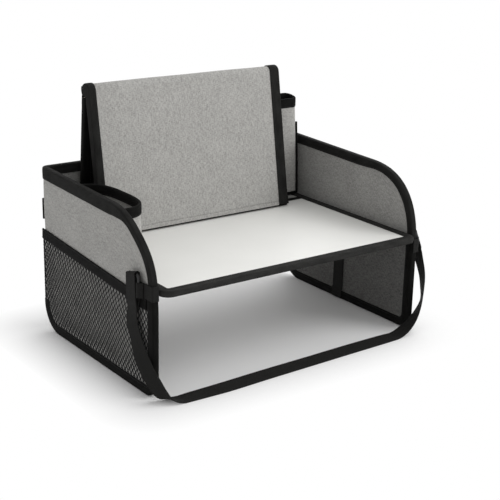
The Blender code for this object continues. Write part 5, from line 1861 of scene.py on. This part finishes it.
@dataclass
class Studio:
    """Pale floor, soft lamps and the camera."""

    focal_px: float = 1175.07
    picture_px: float = 500.0
    yaw: float = 0.6376
    pitch: float = 0.3184
    roll: float = 0.0227
    eye: tuple[float, float, float] = (-840.06, -1175.29, 583.93)
    floor_colour: Colour = (0.96, 0.96, 0.96)
    shadow_half: tuple[float, float] = (0.205, 0.140)
    shadow_fade: float = 0.075
    ambient: float = 0.80
    ambient_tilt: float = 0.42
    floor_reach: float = 30.0
    lamps: tuple = (("rear_lamp", (1.1, 0.9, 1.1), 1.0, 6.0),
                    ("front_lamp", (1.25, -1.1, 1.2), 1.0, 11.0))

    def camera(self) -> None:
        """Place the camera where the reference picture was taken from."""
        data = bpy.data.cameras.new("camera")
        data.sensor_width = 36.0
        data.lens = self.focal_px * data.sensor_width / self.picture_px
        data.clip_end = 60.0
        ahead = Vector((math.sin(self.yaw) * math.cos(self.pitch),
                        math.cos(self.yaw) * math.cos(self.pitch), -math.sin(self.pitch)))
        right = Vector((math.cos(self.yaw), -math.sin(self.yaw), 0))
        above = right.cross(ahead)
        turned = right * math.cos(self.roll) + above * math.sin(self.roll)
        upward = above * math.cos(self.roll) - right * math.sin(self.roll)
        pose = Matrix((turned, upward, -ahead)).transposed().to_4x4()
        pose.translation = (Vector(self.eye) + TRAY_ORIGIN) * MM
        camera = linked("camera", data)
        camera.matrix_world = pose
        bpy.context.scene.camera = camera

    def lamp(self, name: str, place: Sequence[float], size: float, power: float) -> None:
        """Hang one soft square lamp that points at the tray."""
        data = bpy.data.lights.new(name, "AREA")
        data.shape = "SQUARE"
        data.size = size
        data.energy = power
        lamp = linked(name, data)
        lamp.location = place
        aim = Vector((0, 0, 0.12)) - Vector(place)
        lamp.rotation_euler = aim.to_track_quat("-Z", "Y").to_euler()

    def floor(self) -> None:
        """Lay a wide pale floor that takes the soft shadow."""
        mesh = bpy.data.meshes.new("floor")
        reach = self.floor_reach
        mesh.from_pydata([(x, y, 0) for x, y in rectangle(-reach, reach, -reach, reach)], [],
                         [(0, 1, 2, 3)])
        floor = linked("floor", mesh)
        graph = Graph("studio_floor")
        graph.shader.inputs["Base Color"].default_value = (*self.floor_colour, 1.0)
        graph.constants(Roughness=0.9, Specular_IOR_Level=0.1)
        place = graph.add("ShaderNodeTexCoord", output="Object")
        centred = graph.vector("SUBTRACT", place, TRAY_ORIGIN * MM)
        beyond = graph.vector("SUBTRACT", graph.vector("ABSOLUTE", centred),
                              (*self.shadow_half, 0.0))
        outside = graph.vector("MAXIMUM", beyond, (0.0, 0.0, 0.0))
        away = graph.add("ShaderNodeVectorMath", {"operation": "LENGTH"}, {0: outside}, "Value")
        share = (away * (1 / self.shadow_fade)).within()
        glow = graph.add("ShaderNodeEmission", values={"Color": WHITE, "Strength": 1.0})
        surface = Signal(graph, graph.shader.outputs[0])
        mixed = graph.add("ShaderNodeMixShader",
                          values={0: graph.seen() * share, 1: surface, 2: glow})
        out = graph.tree.nodes["Material Output"]
        graph.tree.links.new(mixed.socket, out.inputs["Surface"])
        mesh.materials.append(graph.material)

    def world(self) -> None:
        """Even light from all round, white where the camera sees it."""
        world = bpy.data.worlds.new("studio")
        bpy.context.scene.world = world
        world.use_nodes = True
        graph = Nodes(world.node_tree)
        place = graph.add("ShaderNodeTexCoord", output="Generated")
        across = graph.add("ShaderNodeSeparateXYZ", values={0: place})
        level = (across * self.ambient_tilt + 1.0) * self.ambient
        light = graph.add("ShaderNodeBackground", values={"Color": WHITE, "Strength": level})
        white = graph.add("ShaderNodeBackground", values={"Color": WHITE, "Strength": 1.0})
        mixed = graph.add("ShaderNodeMixShader", values={0: graph.seen(), 1: light, 2: white})
        graph.tree.links.new(mixed.socket, graph.tree.nodes["World Output"].inputs[0])

    def build(self) -> None:
        """Set up the whole studio."""
        self.camera()
        self.floor()
        self.world()
        for lamp in self.lamps:
            self.lamp(*lamp)
        bpy.context.scene.view_settings.view_transform = "Standard"


def dress_boards() -> None:
    """Give the hidden stiffener boards their finish."""
    for name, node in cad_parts.items():
        if name.endswith("_board"):
            node.data.materials.clear()
            node.data.materials.append(CORE.make())


def main() -> None:
    """Build the tray table piece by piece and report each one."""
    logging.basicConfig(level=logging.INFO, format="%(message)s")
    Studio().build()
    seams = Seams()
    RaisedWalls(seams).build()
    TableTop(seams).build()
    Pocket(seams, "cup_pocket", cup_plan, 206.0, 1.6, False, 1.1, inner_tape=11.5).build()
    Pocket(seams, "bottle_pocket", bottle_plan, 271.0, 1.4, True, 0.5).build()
    for side in Side:
        FoldingLeg(seams, side).build()
    TabletStand(seams).build()
    WaistStrap(seams).build()
    seams.build()
    dress_boards()


if __name__ == "__main__":
    main()
